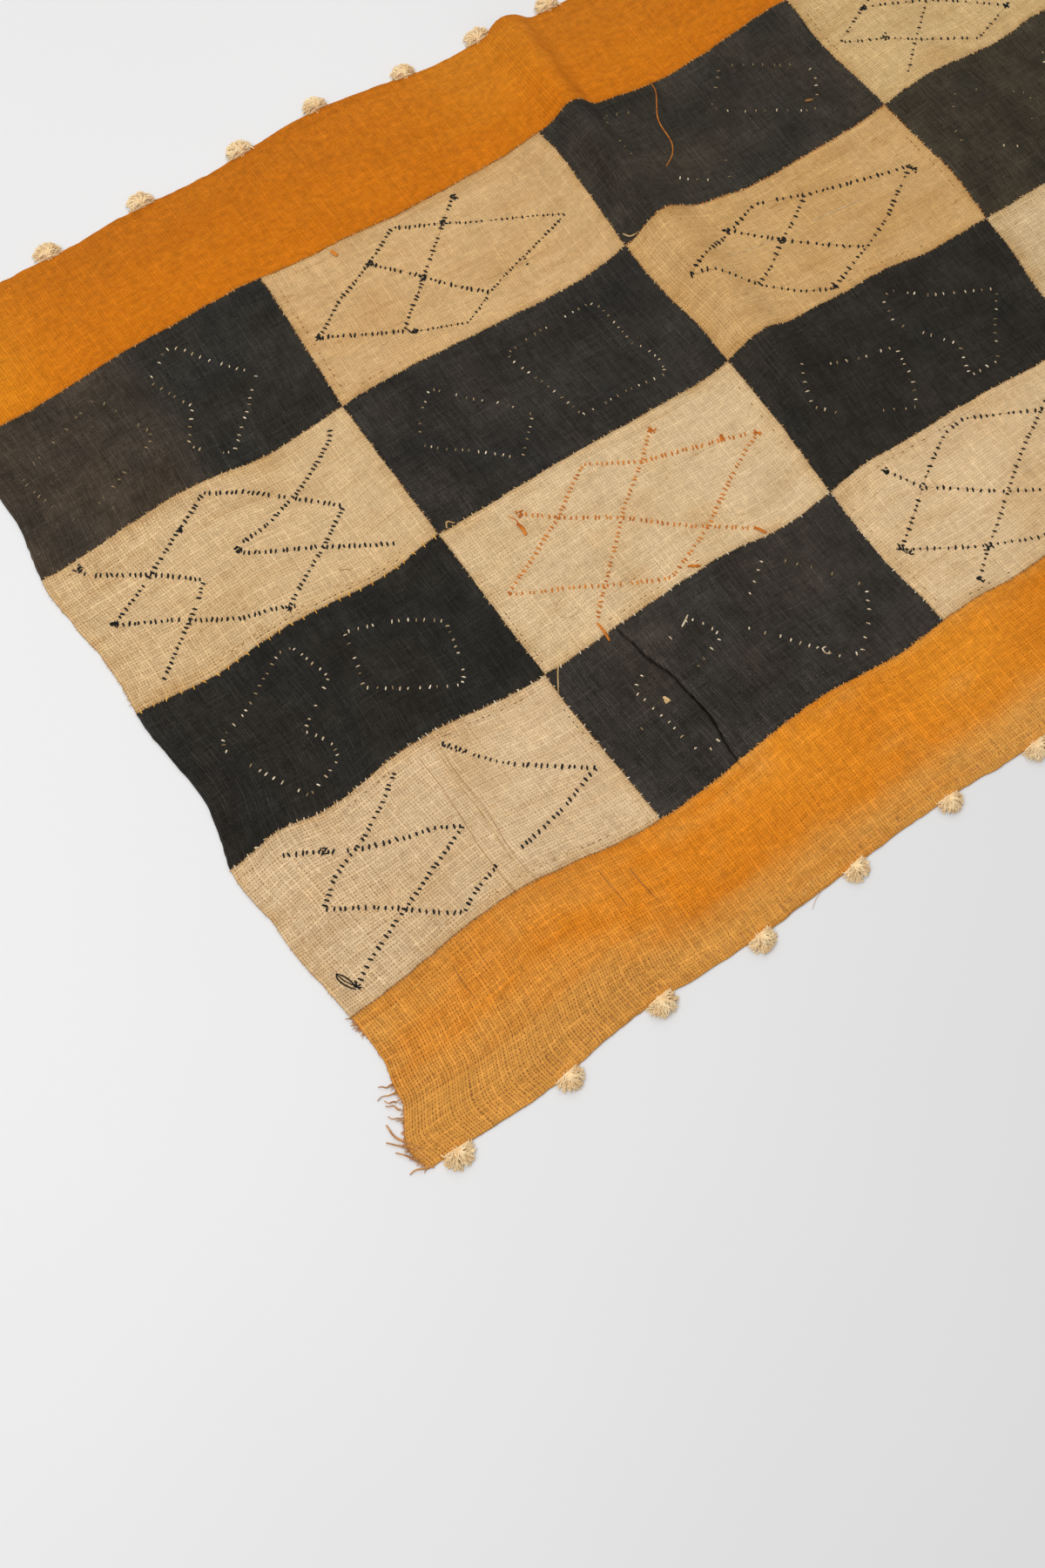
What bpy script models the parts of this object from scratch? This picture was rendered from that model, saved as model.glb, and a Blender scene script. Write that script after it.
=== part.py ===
"""A kuba raffia cloth lying on a floor: a checked patchwork of woven raffia, two long bands and raffia pompoms.

X runs along the cloth, Y across it and Z up from the floor. The origin is the middle of the cloth, on the floor.
"""

import math
import random
from collections import namedtuple

import bmesh
import bpy
from mathutils import Matrix, Vector

MM = 0.001

# Driving sizes, in metres.
COLUMNS = 5
ROWS = 4
PATCH_LENGTH = 0.250
PATCH_WIDTH = 0.124
BAND_WIDTH = 0.104
CLOTH_THICKNESS = 0.0015
HEM_WIDTH = 0.008
HEM_EXTRA_THICKNESS = 0.0007
SEAM_GAP = 0.0003

POMPOM_REACH = 0.0115
POMPOM_HEAD_RADIUS = 0.0055
POMPOM_HEAD_HEIGHT = 0.0050
POMPOM_LOCKS = 9
LOCK_WIDTH = 0.0026
LOCK_HEIGHT = 0.0026
LOCK_TIP_HEIGHT = 0.0018
LOCK_LEAN = math.radians(2)
POMPOM_SHAPES = 4
POMPOM_SEED = 7

CLOTH_LENGTH = COLUMNS * PATCH_LENGTH
PATCHWORK_EDGE = ROWS * PATCH_WIDTH / 2
BAND_EDGE = PATCHWORK_EDGE + BAND_WIDTH

# The grid of each piece: cells of about these sizes, finer along the stretches that a fold crosses.
CELL_LENGTH = 0.031
ROW_CELLS = 5
BAND_CELLS = 4
FineStretch = namedtuple("FineStretch", "start end cell")
FINE_STRETCHES = (
    FineStretch(start=0.300, end=0.342, cell=0.006),
    FineStretch(start=0.500, end=0.582, cell=0.009),
)

# How far each long line strays across the cloth, from where an even cloth would have it: (along, stray) in mm,
# along from the left end. The lines run from the upper band's outer edge down to the lower band's.
LONG_LINES = (
    {"y": BAND_EDGE, "strays": (
        (0, -3), (150, -3), (200, 0), (250, -2), (360, 6), (480, -7), (520, -5), (560, -9), (620, -9),
        (750, -2), (900, 3), (1080, -3), (1250, 1))},
    {"y": PATCHWORK_EDGE, "strays": (
        (0, -4), (50, -5), (150, 1), (230, 3), (300, -2), (380, -6), (450, -5), (520, 1), (620, -10),
        (750, 0), (830, 3), (980, -5), (1120, 4), (1250, -3))},
    {"y": PATCHWORK_EDGE - PATCH_WIDTH, "strays": (
        (0, -2), (120, 5), (180, -3), (280, 3), (450, -4), (535, 6), (630, -6), (700, -5), (807, 4),
        (870, -1), (916, 3), (1000, -4), (1150, 4), (1250, 0))},
    {"y": PATCHWORK_EDGE - 2 * PATCH_WIDTH, "strays": (
        (0, 2), (57, -3), (120, 1), (200, -4), (245, 2), (354, 3), (460, 0), (535, 6), (640, 3),
        (700, -4), (790, -4), (930, 4), (1080, -4), (1250, -1))},
    {"y": PATCHWORK_EDGE - 3 * PATCH_WIDTH, "strays": (
        (0, -1), (40, 4), (75, -1), (151, 6), (245, -3), (400, 2), (460, -4), (540, 3), (620, 2),
        (760, -4), (930, -3), (1010, 3), (1100, -2), (1250, 2))},
    {"y": -PATCHWORK_EDGE, "strays": (
        (0, -2), (130, 7), (254, -7), (395, 2), (460, -3), (520, 0), (580, -3), (660, 2), (750, -2),
        (920, -4), (1090, 4), (1250, 1))},
    {"y": -BAND_EDGE, "strays": (
        (0, -4), (80, -7), (160, 0), (250, -4), (400, 0), (500, -4), (640, 1), (800, -4), (950, -1),
        (1100, -5), (1250, -2))},
)

# How far each line across the cloth strays along it: (across, stray) in mm, across from the middle of the cloth.
CROSS_LINES = (
    ((-352, -4), (-337, -8), (-306, 6), (-275, 10), (-182, 0), (-135, -5), (-72, 6), (-12, 0), (35, 2),
     (113, -5), (175, 3), (248, 0), (352, -2)),
    ((-248, 0), (-135, -5), (-42, -6), (115, -7), (248, 0)),
    ((-248, 4), (-172, -2), (-50, 3), (22, 3), (98, -3), (228, 4), (248, 2)),
    ((-248, -4), (-82, -8), (-20, 0), (42, 6), (128, 1), (198, -5), (248, -2)),
    ((-248, 3), (-120, -4), (0, 5), (130, -3), (248, 2)),
    ((-352, 3), (-300, -5), (-240, 2), (-130, 6), (-20, -2), (80, 4), (180, -5), (260, 1), (352, -3)),
)

# A fold is given by sections across the cloth, in mm: where its crest is along the cloth from the left end,
# how high it stands, and how far it reaches to each side.
FoldSection = namedtuple("FoldSection", "across crest rise left right")
RIDGE = (
    FoldSection(across=-205, crest=540, rise=0, left=26, right=26),
    FoldSection(across=-124, crest=536, rise=4, left=28, right=32),
    FoldSection(across=0, crest=532, rise=12, left=32, right=38),
    FoldSection(across=124, crest=531, rise=15, left=30, right=40),
    FoldSection(across=248, crest=534, rise=15, left=27, right=20),
    FoldSection(across=352, crest=538, rise=15, left=29, right=18),
)
PLEAT = (
    FoldSection(across=-262, crest=319, rise=0, left=5, right=16),
    FoldSection(across=-246, crest=320, rise=1.4, left=5, right=17),
    FoldSection(across=-212, crest=324, rise=2.2, left=5, right=18),
    FoldSection(across=-182, crest=321, rise=2.2, left=5, right=18),
    FoldSection(across=-147, crest=311, rise=2.0, left=5, right=16),
    FoldSection(across=-125, crest=305, rise=1.2, left=5, right=14),
    FoldSection(across=-112, crest=304, rise=0, left=5, right=14),
)
FOLDS = (RIDGE, PLEAT)

# Where each pompom hangs along its edge, in mm from the left end.
POMPOM_PLACES = {
    "upper": (51, 129, 210, 297, 368, 443, 511, 578, 655, 733, 812, 889, 968, 1047, 1124, 1203),
    "lower": (17, 101, 178, 257, 339, 423, 498, 577, 655, 737, 814, 895, 973, 1052, 1133, 1214),
}

Finish = namedtuple("Finish", "colour roughness")
FINISHES = {
    "natural_raffia": Finish(colour=(0.67, 0.49, 0.25), roughness=0.85),
    "black_raffia": Finish(colour=(0.022, 0.021, 0.020), roughness=0.75),
    "ochre_raffia": Finish(colour=(0.60, 0.22, 0.020), roughness=0.80),
    "pompom_raffia": Finish(colour=(0.75, 0.58, 0.32), roughness=0.90),
}


def clear_scene():
    for obj in list(bpy.data.objects):
        bpy.data.objects.remove(obj, do_unlink=True)


def read_table(pairs, place):
    """The value at a place of a table of (place, value) pairs, eased from each pair to the next."""
    if place <= pairs[0][0]:
        return pairs[0][1]
    for (low, first), (high, second) in zip(pairs, pairs[1:]):
        if place <= high:
            share = (place - low) / (high - low)
            return first + (second - first) * (1 - math.cos(math.pi * share)) / 2
    return pairs[-1][1]


def along_stray(column_line, y):
    return read_table(CROSS_LINES[column_line], y / MM) * MM


def across_stray(long_line, along):
    return read_table(LONG_LINES[long_line]["strays"], along / MM) * MM


def cloth_point(along, y):
    """Where a point of the even cloth lies on the real one, seen from above."""
    column = min(int(along / PATCH_LENGTH), COLUMNS - 1)
    share = along / PATCH_LENGTH - column
    stray_x = (1 - share) * along_stray(column, y) + share * along_stray(column + 1, y)
    line = 0
    while line < len(LONG_LINES) - 2 and y < LONG_LINES[line + 1]["y"]:
        line += 1
    above = LONG_LINES[line]["y"]
    below = LONG_LINES[line + 1]["y"]
    share = (above - y) / (above - below)
    stray_y = (1 - share) * across_stray(line, along) + share * across_stray(line + 1, along)
    return along - CLOTH_LENGTH / 2 + stray_x, y + stray_y


def fold_rise(sections, x, y):
    """How high one fold lifts the cloth's underside above a point of the floor."""
    across = y / MM
    if across <= sections[0].across:
        return 0.0
    values = {
        name: read_table([(section.across, getattr(section, name)) for section in sections], across) * MM
        for name in ("crest", "rise", "left", "right")
    }
    offset = x + CLOTH_LENGTH / 2 - values["crest"]
    reach = values["left"] if offset < 0 else values["right"]
    if abs(offset) >= reach:
        return 0.0
    return values["rise"] * (1 + math.cos(math.pi * offset / reach)) / 2


def underside(x, y):
    return sum(fold_rise(sections, x, y) for sections in FOLDS)


def upper_side(x, y, thickness):
    """The top of the cloth, a thickness away from its underside at right angles to it."""
    step = 0.5 * MM
    slope_x = (underside(x + step, y) - underside(x - step, y)) / (2 * step)
    slope_y = (underside(x, y + step) - underside(x, y - step)) / (2 * step)
    return underside(x, y) + thickness * math.sqrt(1 + slope_x**2 + slope_y**2)


def stations(start, end):
    """The grid lines between two places along the cloth."""
    marks = {mark for stretch in FINE_STRETCHES for mark in (stretch.start, stretch.end)}
    cuts = [start] + sorted(mark for mark in marks if start < mark < end) + [end]
    places = []
    for low, high in zip(cuts, cuts[1:]):
        cell = CELL_LENGTH
        for stretch in FINE_STRETCHES:
            if stretch.start <= low and high <= stretch.end:
                cell = stretch.cell
        count = max(1, round((high - low) / cell))
        places += [low + (high - low) * step / count for step in range(count)]
    return places + [end]


def even_steps(start, end, count):
    return [start + (end - start) * step / count for step in range(count + 1)]


def material_of(slot):
    material = bpy.data.materials.get(slot)
    if material is None:
        material = bpy.data.materials.new(slot)
        material.use_nodes = True
        shader = material.node_tree.nodes["Principled BSDF"]
        shader.inputs["Base Color"].default_value = (*FINISHES[slot].colour, 1)
        shader.inputs["Roughness"].default_value = FINISHES[slot].roughness
        shader.inputs["Metallic"].default_value = 0
    return material


def add_object(name, mesh, slot, parent, collection):
    obj = bpy.data.objects.new(name, mesh)
    obj.parent = parent
    if not mesh.materials:
        mesh.materials.append(material_of(slot))
    collection.objects.link(obj)
    return obj


def sheet_mesh(name, alongs, acrosses, centre, thickness_at):
    """A sheet of cloth: a grid laid on the cloth's underside, then extruded up by the cloth's thickness."""
    cells_along = len(alongs) - 1
    cells_across = len(acrosses) - 1
    bm = bmesh.new()
    even_across = bm.verts.layers.float.new("even_across")
    bmesh.ops.create_grid(bm, x_segments=cells_along, y_segments=cells_across, size=0.5)
    for vert in bm.verts:
        along = alongs[round((vert.co.x + 0.5) * cells_along)]
        across = acrosses[round((vert.co.y + 0.5) * cells_across)]
        x, y = cloth_point(along, across)
        vert.co = (x, y, underside(x, y))
        vert[even_across] = across
    raised = bmesh.ops.extrude_face_region(bm, geom=bm.faces[:])["geom"]
    for vert in raised:
        if isinstance(vert, bmesh.types.BMVert):
            vert.co.z = upper_side(vert.co.x, vert.co.y, thickness_at(vert[even_across]))
    bmesh.ops.recalc_face_normals(bm, faces=bm.faces)
    bmesh.ops.translate(bm, verts=bm.verts, vec=-centre)
    bm.verts.layers.float.remove(even_across)
    mesh = bpy.data.meshes.new(name)
    bm.to_mesh(mesh)
    bm.free()
    return mesh


def patch_thickness(across):
    return CLOTH_THICKNESS


def band_thickness(across):
    """A band is thicker in the narrow hem along its outer edge."""
    hemmed = BAND_EDGE - abs(across) < HEM_WIDTH - SEAM_GAP
    return CLOTH_THICKNESS + (HEM_EXTRA_THICKNESS if hemmed else 0)


def add_patch(column, row, parent, collection):
    """One patch of the checked middle. Column 1 is at the left end and row 1 beside the upper band."""
    inset = SEAM_GAP / 2
    start = (column - 1) * PATCH_LENGTH
    alongs = stations(start, start + PATCH_LENGTH)
    alongs[0] += inset
    alongs[-1] -= inset
    top = PATCHWORK_EDGE - (row - 1) * PATCH_WIDTH
    acrosses = even_steps(top - PATCH_WIDTH + inset, top - inset, ROW_CELLS)
    name = f"patch_c{column}_r{row}"
    centre = Vector((start + PATCH_LENGTH / 2 - CLOTH_LENGTH / 2, top - PATCH_WIDTH / 2, 0))
    mesh = sheet_mesh(name, alongs, acrosses, centre, patch_thickness)
    slot = "black_raffia" if (column + row) % 2 == 0 else "natural_raffia"
    add_object(name, mesh, slot, parent, collection).location = centre


def band_stations():
    """A band's grid lines along the cloth are those of all the patches beside it."""
    places = [0.0]
    for column in range(COLUMNS):
        places += stations(column * PATCH_LENGTH, (column + 1) * PATCH_LENGTH)[1:]
    return places


def add_band(side, parent, collection):
    """One of the two long bands: side is 1 for the upper band and -1 for the lower one."""
    seam = side * (PATCHWORK_EDGE + SEAM_GAP / 2)
    hem = side * (BAND_EDGE - HEM_WIDTH)
    edge = side * BAND_EDGE
    acrosses = even_steps(seam, hem, BAND_CELLS) + [hem + side * SEAM_GAP, edge]
    name = "band_upper" if side > 0 else "band_lower"
    centre = Vector((0, side * (PATCHWORK_EDGE + BAND_WIDTH / 2), 0))
    mesh = sheet_mesh(name, band_stations(), sorted(acrosses), centre, band_thickness)
    add_object(name, mesh, "ochre_raffia", parent, collection).location = centre


def pompom_head():
    """The tied head: half of a low drum, flat on the floor and flat where it meets the cloth."""
    bm = bmesh.new()
    bmesh.ops.create_cone(bm, cap_ends=True, segments=2 * POMPOM_LOCKS, radius1=POMPOM_HEAD_RADIUS,
                          radius2=POMPOM_HEAD_RADIUS, depth=LOCK_HEIGHT)
    bmesh.ops.rotate(bm, verts=bm.verts, cent=(0, 0, 0), matrix=Matrix.Rotation(-math.pi / 2, 3, "Z"))
    bmesh.ops.translate(bm, verts=bm.verts, vec=(0, 0, LOCK_HEIGHT / 2))
    geometry = bm.verts[:] + bm.edges[:] + bm.faces[:]
    bmesh.ops.bisect_plane(bm, geom=geometry, dist=0.01 * MM, plane_co=(0, 0, 0), plane_no=(0, -1, 0),
                           clear_outer=True)
    bmesh.ops.holes_fill(bm, edges=[edge for edge in bm.edges if edge.is_boundary])
    bmesh.ops.recalc_face_normals(bm, faces=bm.faces)
    return bm


def angle_of(face):
    middle = face.calc_center_median()
    return math.atan2(middle.y, middle.x)


def pompom_mesh(number, draw):
    """One shape of pompom: a head whose rim faces are each drawn out into a flat lock of four sides."""
    bm = pompom_head()
    top = [face for face in bm.faces if face.normal.z > 0.5]
    rim = [face for face in bm.faces if abs(face.normal.z) < 0.5 and face.normal.y > 0]
    rim = bmesh.ops.extrude_discrete_faces(bm, faces=sorted(rim, key=angle_of))["faces"]
    for face in sorted(rim, key=angle_of):
        angle = angle_of(face) + draw.uniform(-LOCK_LEAN, LOCK_LEAN)
        outward = Vector((math.cos(angle), math.sin(angle), 0))
        sideways = Vector((-outward.y, outward.x, 0))
        reach = POMPOM_REACH * draw.uniform(0.86, 1)
        for vert in face.verts:
            side = math.copysign(LOCK_WIDTH / 2, vert.co.dot(sideways))
            height = LOCK_TIP_HEIGHT if vert.co.z > 0 else 0
            vert.co = outward * reach + sideways * side + Vector((0, 0, height))
    bmesh.ops.inset_region(bm, faces=top, thickness=POMPOM_HEAD_RADIUS / 3, use_even_offset=True)
    for vert in top[0].verts:
        vert.co.z = POMPOM_HEAD_HEIGHT
    bmesh.ops.recalc_face_normals(bm, faces=bm.faces)
    mesh = bpy.data.meshes.new(f"pompom_{number}")
    bm.to_mesh(mesh)
    bm.free()
    return mesh


def edge_points(side):
    """The corners of a band's outer edge, seen from above."""
    return [Vector(cloth_point(along, side * BAND_EDGE)) for along in band_stations()]


def seat_pompom(place, side, corners):
    """Where a pompom's tied side goes and how it turns, so that it lies a seam gap off the cloth's edge."""
    x = place * MM - CLOTH_LENGTH / 2
    for left, right in zip(corners, corners[1:]):
        if left.x <= x <= right.x:
            break
    run = (right - left).normalized()
    foot = left + run * ((x - left.x) / run.x)
    outward = Vector((-run.y, run.x)) * side
    samples = [foot + run * (POMPOM_REACH * step / 10) for step in range(-10, 11)]
    farthest = 0.0
    for near, far in zip(corners, corners[1:]):
        for sample in samples:
            if near.x <= sample.x <= far.x:
                edge_y = near.y + (far.y - near.y) * (sample.x - near.x) / (far.x - near.x)
                farthest = max(farthest, side * (edge_y - sample.y))
    seat = foot + outward * (SEAM_GAP + farthest)
    return seat, math.atan2(outward.y, outward.x) - math.pi / 2


def add_pompoms(parent, collection):
    draw = random.Random(POMPOM_SEED)
    shapes = [pompom_mesh(number, draw) for number in range(POMPOM_SHAPES)]
    for side_name, side in (("upper", 1), ("lower", -1)):
        corners = edge_points(side)
        for index, place in enumerate(POMPOM_PLACES[side_name]):
            shape = shapes[(index * 3 + (side < 0)) % POMPOM_SHAPES]
            seat, turn = seat_pompom(place, side, corners)
            name = f"pompom_{side_name}_{index + 1:02d}"
            obj = add_object(name, shape, "pompom_raffia", parent, collection)
            obj.location = (seat.x, seat.y, 0)
            obj.rotation_euler.z = turn


def main():
    clear_scene()
    collection = bpy.data.collections.new("kuba_raffia_cloth")
    bpy.context.scene.collection.children.link(collection)
    root = bpy.data.objects.new("cloth_middle", None)
    collection.objects.link(root)
    for column in range(1, COLUMNS + 1):
        for row in range(1, ROWS + 1):
            add_patch(column, row, root, collection)
    add_band(1, root, collection)
    add_band(-1, root, collection)
    add_pompoms(root, collection)


main()
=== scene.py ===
import math
import random

import bpy
import numpy as np
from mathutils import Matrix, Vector


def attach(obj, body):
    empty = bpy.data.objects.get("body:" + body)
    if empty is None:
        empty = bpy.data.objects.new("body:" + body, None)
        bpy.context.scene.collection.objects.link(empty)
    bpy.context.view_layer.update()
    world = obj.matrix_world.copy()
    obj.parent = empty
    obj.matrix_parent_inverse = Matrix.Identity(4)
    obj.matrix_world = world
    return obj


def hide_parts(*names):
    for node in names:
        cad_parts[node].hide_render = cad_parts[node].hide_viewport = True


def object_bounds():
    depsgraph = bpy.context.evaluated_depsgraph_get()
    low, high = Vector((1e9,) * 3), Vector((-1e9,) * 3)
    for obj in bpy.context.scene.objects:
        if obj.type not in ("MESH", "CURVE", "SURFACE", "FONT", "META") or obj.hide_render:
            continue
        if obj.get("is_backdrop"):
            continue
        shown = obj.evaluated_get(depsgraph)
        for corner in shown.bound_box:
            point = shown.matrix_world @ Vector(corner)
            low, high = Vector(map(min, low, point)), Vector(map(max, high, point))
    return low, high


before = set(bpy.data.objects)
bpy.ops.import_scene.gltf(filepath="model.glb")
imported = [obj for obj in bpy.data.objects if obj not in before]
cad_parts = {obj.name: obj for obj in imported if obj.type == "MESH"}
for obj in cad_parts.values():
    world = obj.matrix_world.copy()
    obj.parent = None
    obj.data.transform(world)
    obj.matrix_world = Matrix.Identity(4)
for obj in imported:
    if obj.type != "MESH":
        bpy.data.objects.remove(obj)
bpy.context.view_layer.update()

mm = 0.001

# A patchwork cloth of woven raffia. X runs along it, Y across it, Z up from the floor, origin in its middle.
# "Even" sizes are those of the cloth before it strays: along from its left end, across from its middle line.

# Camera, floor and light.

view = {
    "place": (-0.660, -0.409, 0.975),
    "turn": (17.79, -3.16, -34.77),    # degrees
    "lens": 35,
    "sensor": 36,
}
room = {
    "floorSize": 9.0,
    "floor": "DEDEDF",
    "floorRough": 0.55,
    "mottle": 333,                # mm
    "sky": "F2F5FA",
    "skyStrength": 0.50,
    "panels": (    # place, what it points at, size in metres, watts, colour
        ((-1.25, 0.15, 1.9), (-0.55, -0.10, 0), 1.6, 27, "FFFDF9"),
        ((0.9, 1.5, 2.2), (0.25, 0.0, 0), 2.0, 26, "FFFAF2"),
    ),
}


def toLinear(code):    # an sRGB hex colour as Blender's linear one
    shares = [int(code[k:k + 2], 16) / 255 for k in (0, 2, 4)]
    return tuple(s / 12.92 if s <= 0.04045 else ((s + 0.055) / 1.055) ** 2.4 for s in shares) + (1.0,)


def scaleOf(*sizes):    # the scale of a pattern whose features are so many mm wide
    return tuple(1 / (size * mm) for size in sizes)


def addNode(tree, kind, inputs=None, **settings):    # adds a node, sets it and links what is given as a node
    node = tree.nodes.new(kind)
    for name, value in settings.items():
        setattr(node, name, value)
    for socket, value in (inputs or {}).items():
        if isinstance(value, bpy.types.Node):
            value = value.outputs[0]
        if isinstance(value, bpy.types.NodeSocket):
            tree.links.new(value, node.inputs[socket])
        else:
            node.inputs[socket].default_value = value
    return node


def newMaterial(name):
    material = bpy.data.materials.new(name)
    material.use_nodes = True
    return material, material.node_tree, material.node_tree.nodes["Principled BSDF"]


def deselect():
    bpy.ops.object.select_all(action="DESELECT")


bpy.context.scene.view_settings.view_transform = "Standard"

deselect()
bpy.ops.object.camera_add(location=view["place"], rotation=[math.radians(a) for a in view["turn"]])
camera = bpy.context.object
camera.data.lens = view["lens"]
camera.data.sensor_width = view["sensor"]
bpy.context.scene.camera = camera

for number, (place, target, size, watts, colour) in enumerate(room["panels"]):
    bpy.ops.object.light_add(type="AREA", location=place)
    panel = bpy.context.object
    panel.name = f"softPanel{number + 1}"
    panel.rotation_euler = (Vector(target) - Vector(place)).to_track_quat("-Z", "Y").to_euler()
    panel.data.size = size
    panel.data.energy = watts
    panel.data.color = toLinear(colour)[:3]

world = bpy.data.worlds.new("studio")
world.use_nodes = True
world.node_tree.nodes["Background"].inputs["Color"].default_value = toLinear(room["sky"])
world.node_tree.nodes["Background"].inputs["Strength"].default_value = room["skyStrength"]
bpy.context.scene.world = world

# Matt floor paint, rolled on: almost even, with a faint broad mottle.
floorPaint, tree, shader = newMaterial("mattFloorPaint")
spot = addNode(tree, "ShaderNodeTexCoord")
mottle = addNode(tree, "ShaderNodeTexNoise", {"Vector": spot.outputs["Object"], "Scale": scaleOf(room["mottle"])[0],
                                              "Detail": 3.0})
shade = addNode(tree, "ShaderNodeMapRange", {0: mottle, "To Min": 0.98, "To Max": 1.02})
paint = addNode(tree, "ShaderNodeVectorMath", {0: toLinear(room["floor"])[:3], 1: shade}, operation="MULTIPLY")
tree.links.new(paint.outputs[0], shader.inputs["Base Color"])
shader.inputs["Roughness"].default_value = room["floorRough"]

deselect()
bpy.ops.mesh.primitive_plane_add(size=room["floorSize"], location=(0, 0, -0.1 * mm))
floor = bpy.context.object
floor.name = "floor"
bpy.ops.object.transform_apply(location=True, rotation=True, scale=True)
floor.data.materials.append(floorPaint)
floor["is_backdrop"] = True
print("camera, floor and light are set")

# How the cloth lies: its lines, folds and creases.

cloth = {
    "patchLength": 250 * mm,
    "patchWidth": 124 * mm,
    "bandWidth": 104 * mm,
    "columns": 5,
    "rows": 4,
    "thick": 1.05 * mm,
    "turnedIn": 8 * mm,           # each patch's edge is turned under this far, and each band's hem
    "turnedThick": 0.55 * mm,
    "edgeRound": ((0, 0.42), (0.4, 0.74), (0.9, 0.90), (1.8, 0.98), (2.6, 1.0)),    # mm from it, share of thickness
    "seamRound": ((0, 0.62), (0.4, 0.85), (0.9, 0.95), (1.8, 1.0)),    # the same at a seam
    "edgeLines": (0, 0.4, 0.9, 1.8, 3.6, 5.6, 7.4, 8.6),    # mm from an edge: where the mesh has lines
    "cell": 4.2 * mm,
    "fineCell": 0.8 * mm,
    "overlap": 0.3 * mm,          # neighbours meet this far under each other, so no floor shows in a seam
    "swell": 1.3 * mm,            # how high the cloth stands off the floor in its soft swells
    "pucker": 0.55 * mm,          # gathers along a seam
    "tremble": 0.8 * mm,          # small unevenness of every line
    "overhang": 1.7 * mm,         # how far the pleat's crest leans over
}
clothLength = cloth["columns"] * cloth["patchLength"]
patchworkEdge = cloth["rows"] * cloth["patchWidth"] / 2
bandEdge = patchworkEdge + cloth["bandWidth"]

# How far each long line strays across the cloth, as (mm along, mm of stray), from the upper outer edge down.
longLines = (
    (bandEdge, ((0, -3), (150, -3), (200, 0), (250, -2), (360, 6), (480, -7), (520, -5), (560, -9), (620, -9),
                (750, -2), (900, 3), (1080, -3), (1250, 1))),
    (patchworkEdge, ((0, -4), (50, -5), (150, 1), (230, 3), (300, -2), (380, -6), (450, -5), (520, 1),
                     (620, -10), (750, 0), (830, 3), (980, -5), (1120, 4), (1250, -3))),
    (0.124, ((0, -2), (120, 5), (180, -3), (280, 3), (450, -4), (535, 6), (630, -6), (700, -5), (807, 4),
             (870, -1), (916, 3), (1000, -4), (1150, 4), (1250, 0))),
    (0, ((0, 2), (57, -3), (120, 1), (200, -4), (245, 2), (354, 3), (460, 0), (535, 6), (640, 3),
         (700, -4), (790, -4), (930, 4), (1080, -4), (1250, -1))),
    (-0.124, ((0, -1), (40, 4), (75, -1), (151, 6), (245, -3), (400, 2), (460, -4), (540, 3), (620, 2),
              (760, -4), (930, -3), (1010, 3), (1100, -2), (1250, 2))),
    (-patchworkEdge, ((0, -2), (130, 7), (254, -7), (395, 2), (460, -3), (520, 0), (580, -3), (660, 2),
                      (750, -2), (920, -4), (1090, 4), (1250, 1))),
    (-bandEdge, ((0, -4), (80, -7), (160, 0), (250, -4), (400, 0), (500, -4), (640, 1), (800, -4),
                 (950, -1), (1100, -5), (1250, -2))),
)

# How far each line across the cloth strays along it, as (mm across, mm of stray), from the left end.
crossLines = (
    ((-352, -4), (-337, -8), (-306, 6), (-275, 10), (-182, 0), (-135, -5), (-72, 6), (-12, 0), (35, 2),
     (113, -5), (175, 3), (248, 0), (352, -2)),
    ((-248, 0), (-135, -5), (-42, -6), (115, -7), (248, 0)),
    ((-248, 4), (-172, -2), (-50, 3), (22, 3), (98, -3), (228, 4), (248, 2)),
    ((-248, -4), (-82, -8), (-20, 0), (42, 6), (128, 1), (198, -5), (248, -2)),
    ((-248, 3), (-120, -4), (0, 5), (130, -3), (248, 2)),
    ((-352, 3), (-300, -5), (-240, 2), (-130, 6), (-20, -2), (80, 4), (180, -5), (260, 1), (352, -3)),
)

# Folds as sections across the cloth, all mm: across, the crest's place along, its height, its reach left and right.
folds = {
    "ridge": ((-205, 540, 0, 26, 26), (-124, 536, 4, 28, 32), (0, 532, 12, 32, 38), (124, 531, 15, 30, 40),
              (248, 534, 15, 27, 24), (352, 538, 13, 30, 27)),
    "pleat": ((-262, 319, 0, 2, 16), (-246, 320, 1.4, 1, 17), (-212, 324, 2.2, 1, 18), (-182, 321, 2.2, 1, 18),
              (-147, 312, 2.0, 1, 16), (-125, 308, 1.4, 1, 14), (-112, 307, 0, 1, 14)),
}

# Soft creases: from, to (even mm along and across), depth and half width in mm. A depth under 0 is a ridge.
creases = (
    ((432, -185), (430, -240), 0.5, 3),
    ((215, -262), (213, -296), 0.7, 4),
    ((165, 345), (180, 262), -0.8, 9),
    ((300, 344), (318, 258), 0.5, 7),
    ((640, 340), (655, 255), -0.7, 9),
    ((520, -340), (545, -262), 0.5, 8),
    ((850, -345), (838, -258), -0.8, 10),
    ((60, 110), (150, 40), 0.5, 9),
    ((90, -20), (200, -105), -0.6, 9),
    ((300, 60), (420, 10), 0.5, 9),
    ((620, -30), (700, -110), -0.6, 10),
    ((700, 90), (760, 15), 0.5, 9),
    ((290, -85), (345, -30), 0.5, 5),
    ((330, -100), (400, -45), -0.5, 6),
    ((380, -20), (440, -75), 0.4, 5),
    ((30, 105), (60, 20), 0.4, 5),
    ((153, -126), (153, -246), 0.4, 2.0),
    ((560, 100), (600, 20), 0.5, 6),
    ((20, -150), (110, -230), 0.5, 8),
)


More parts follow.
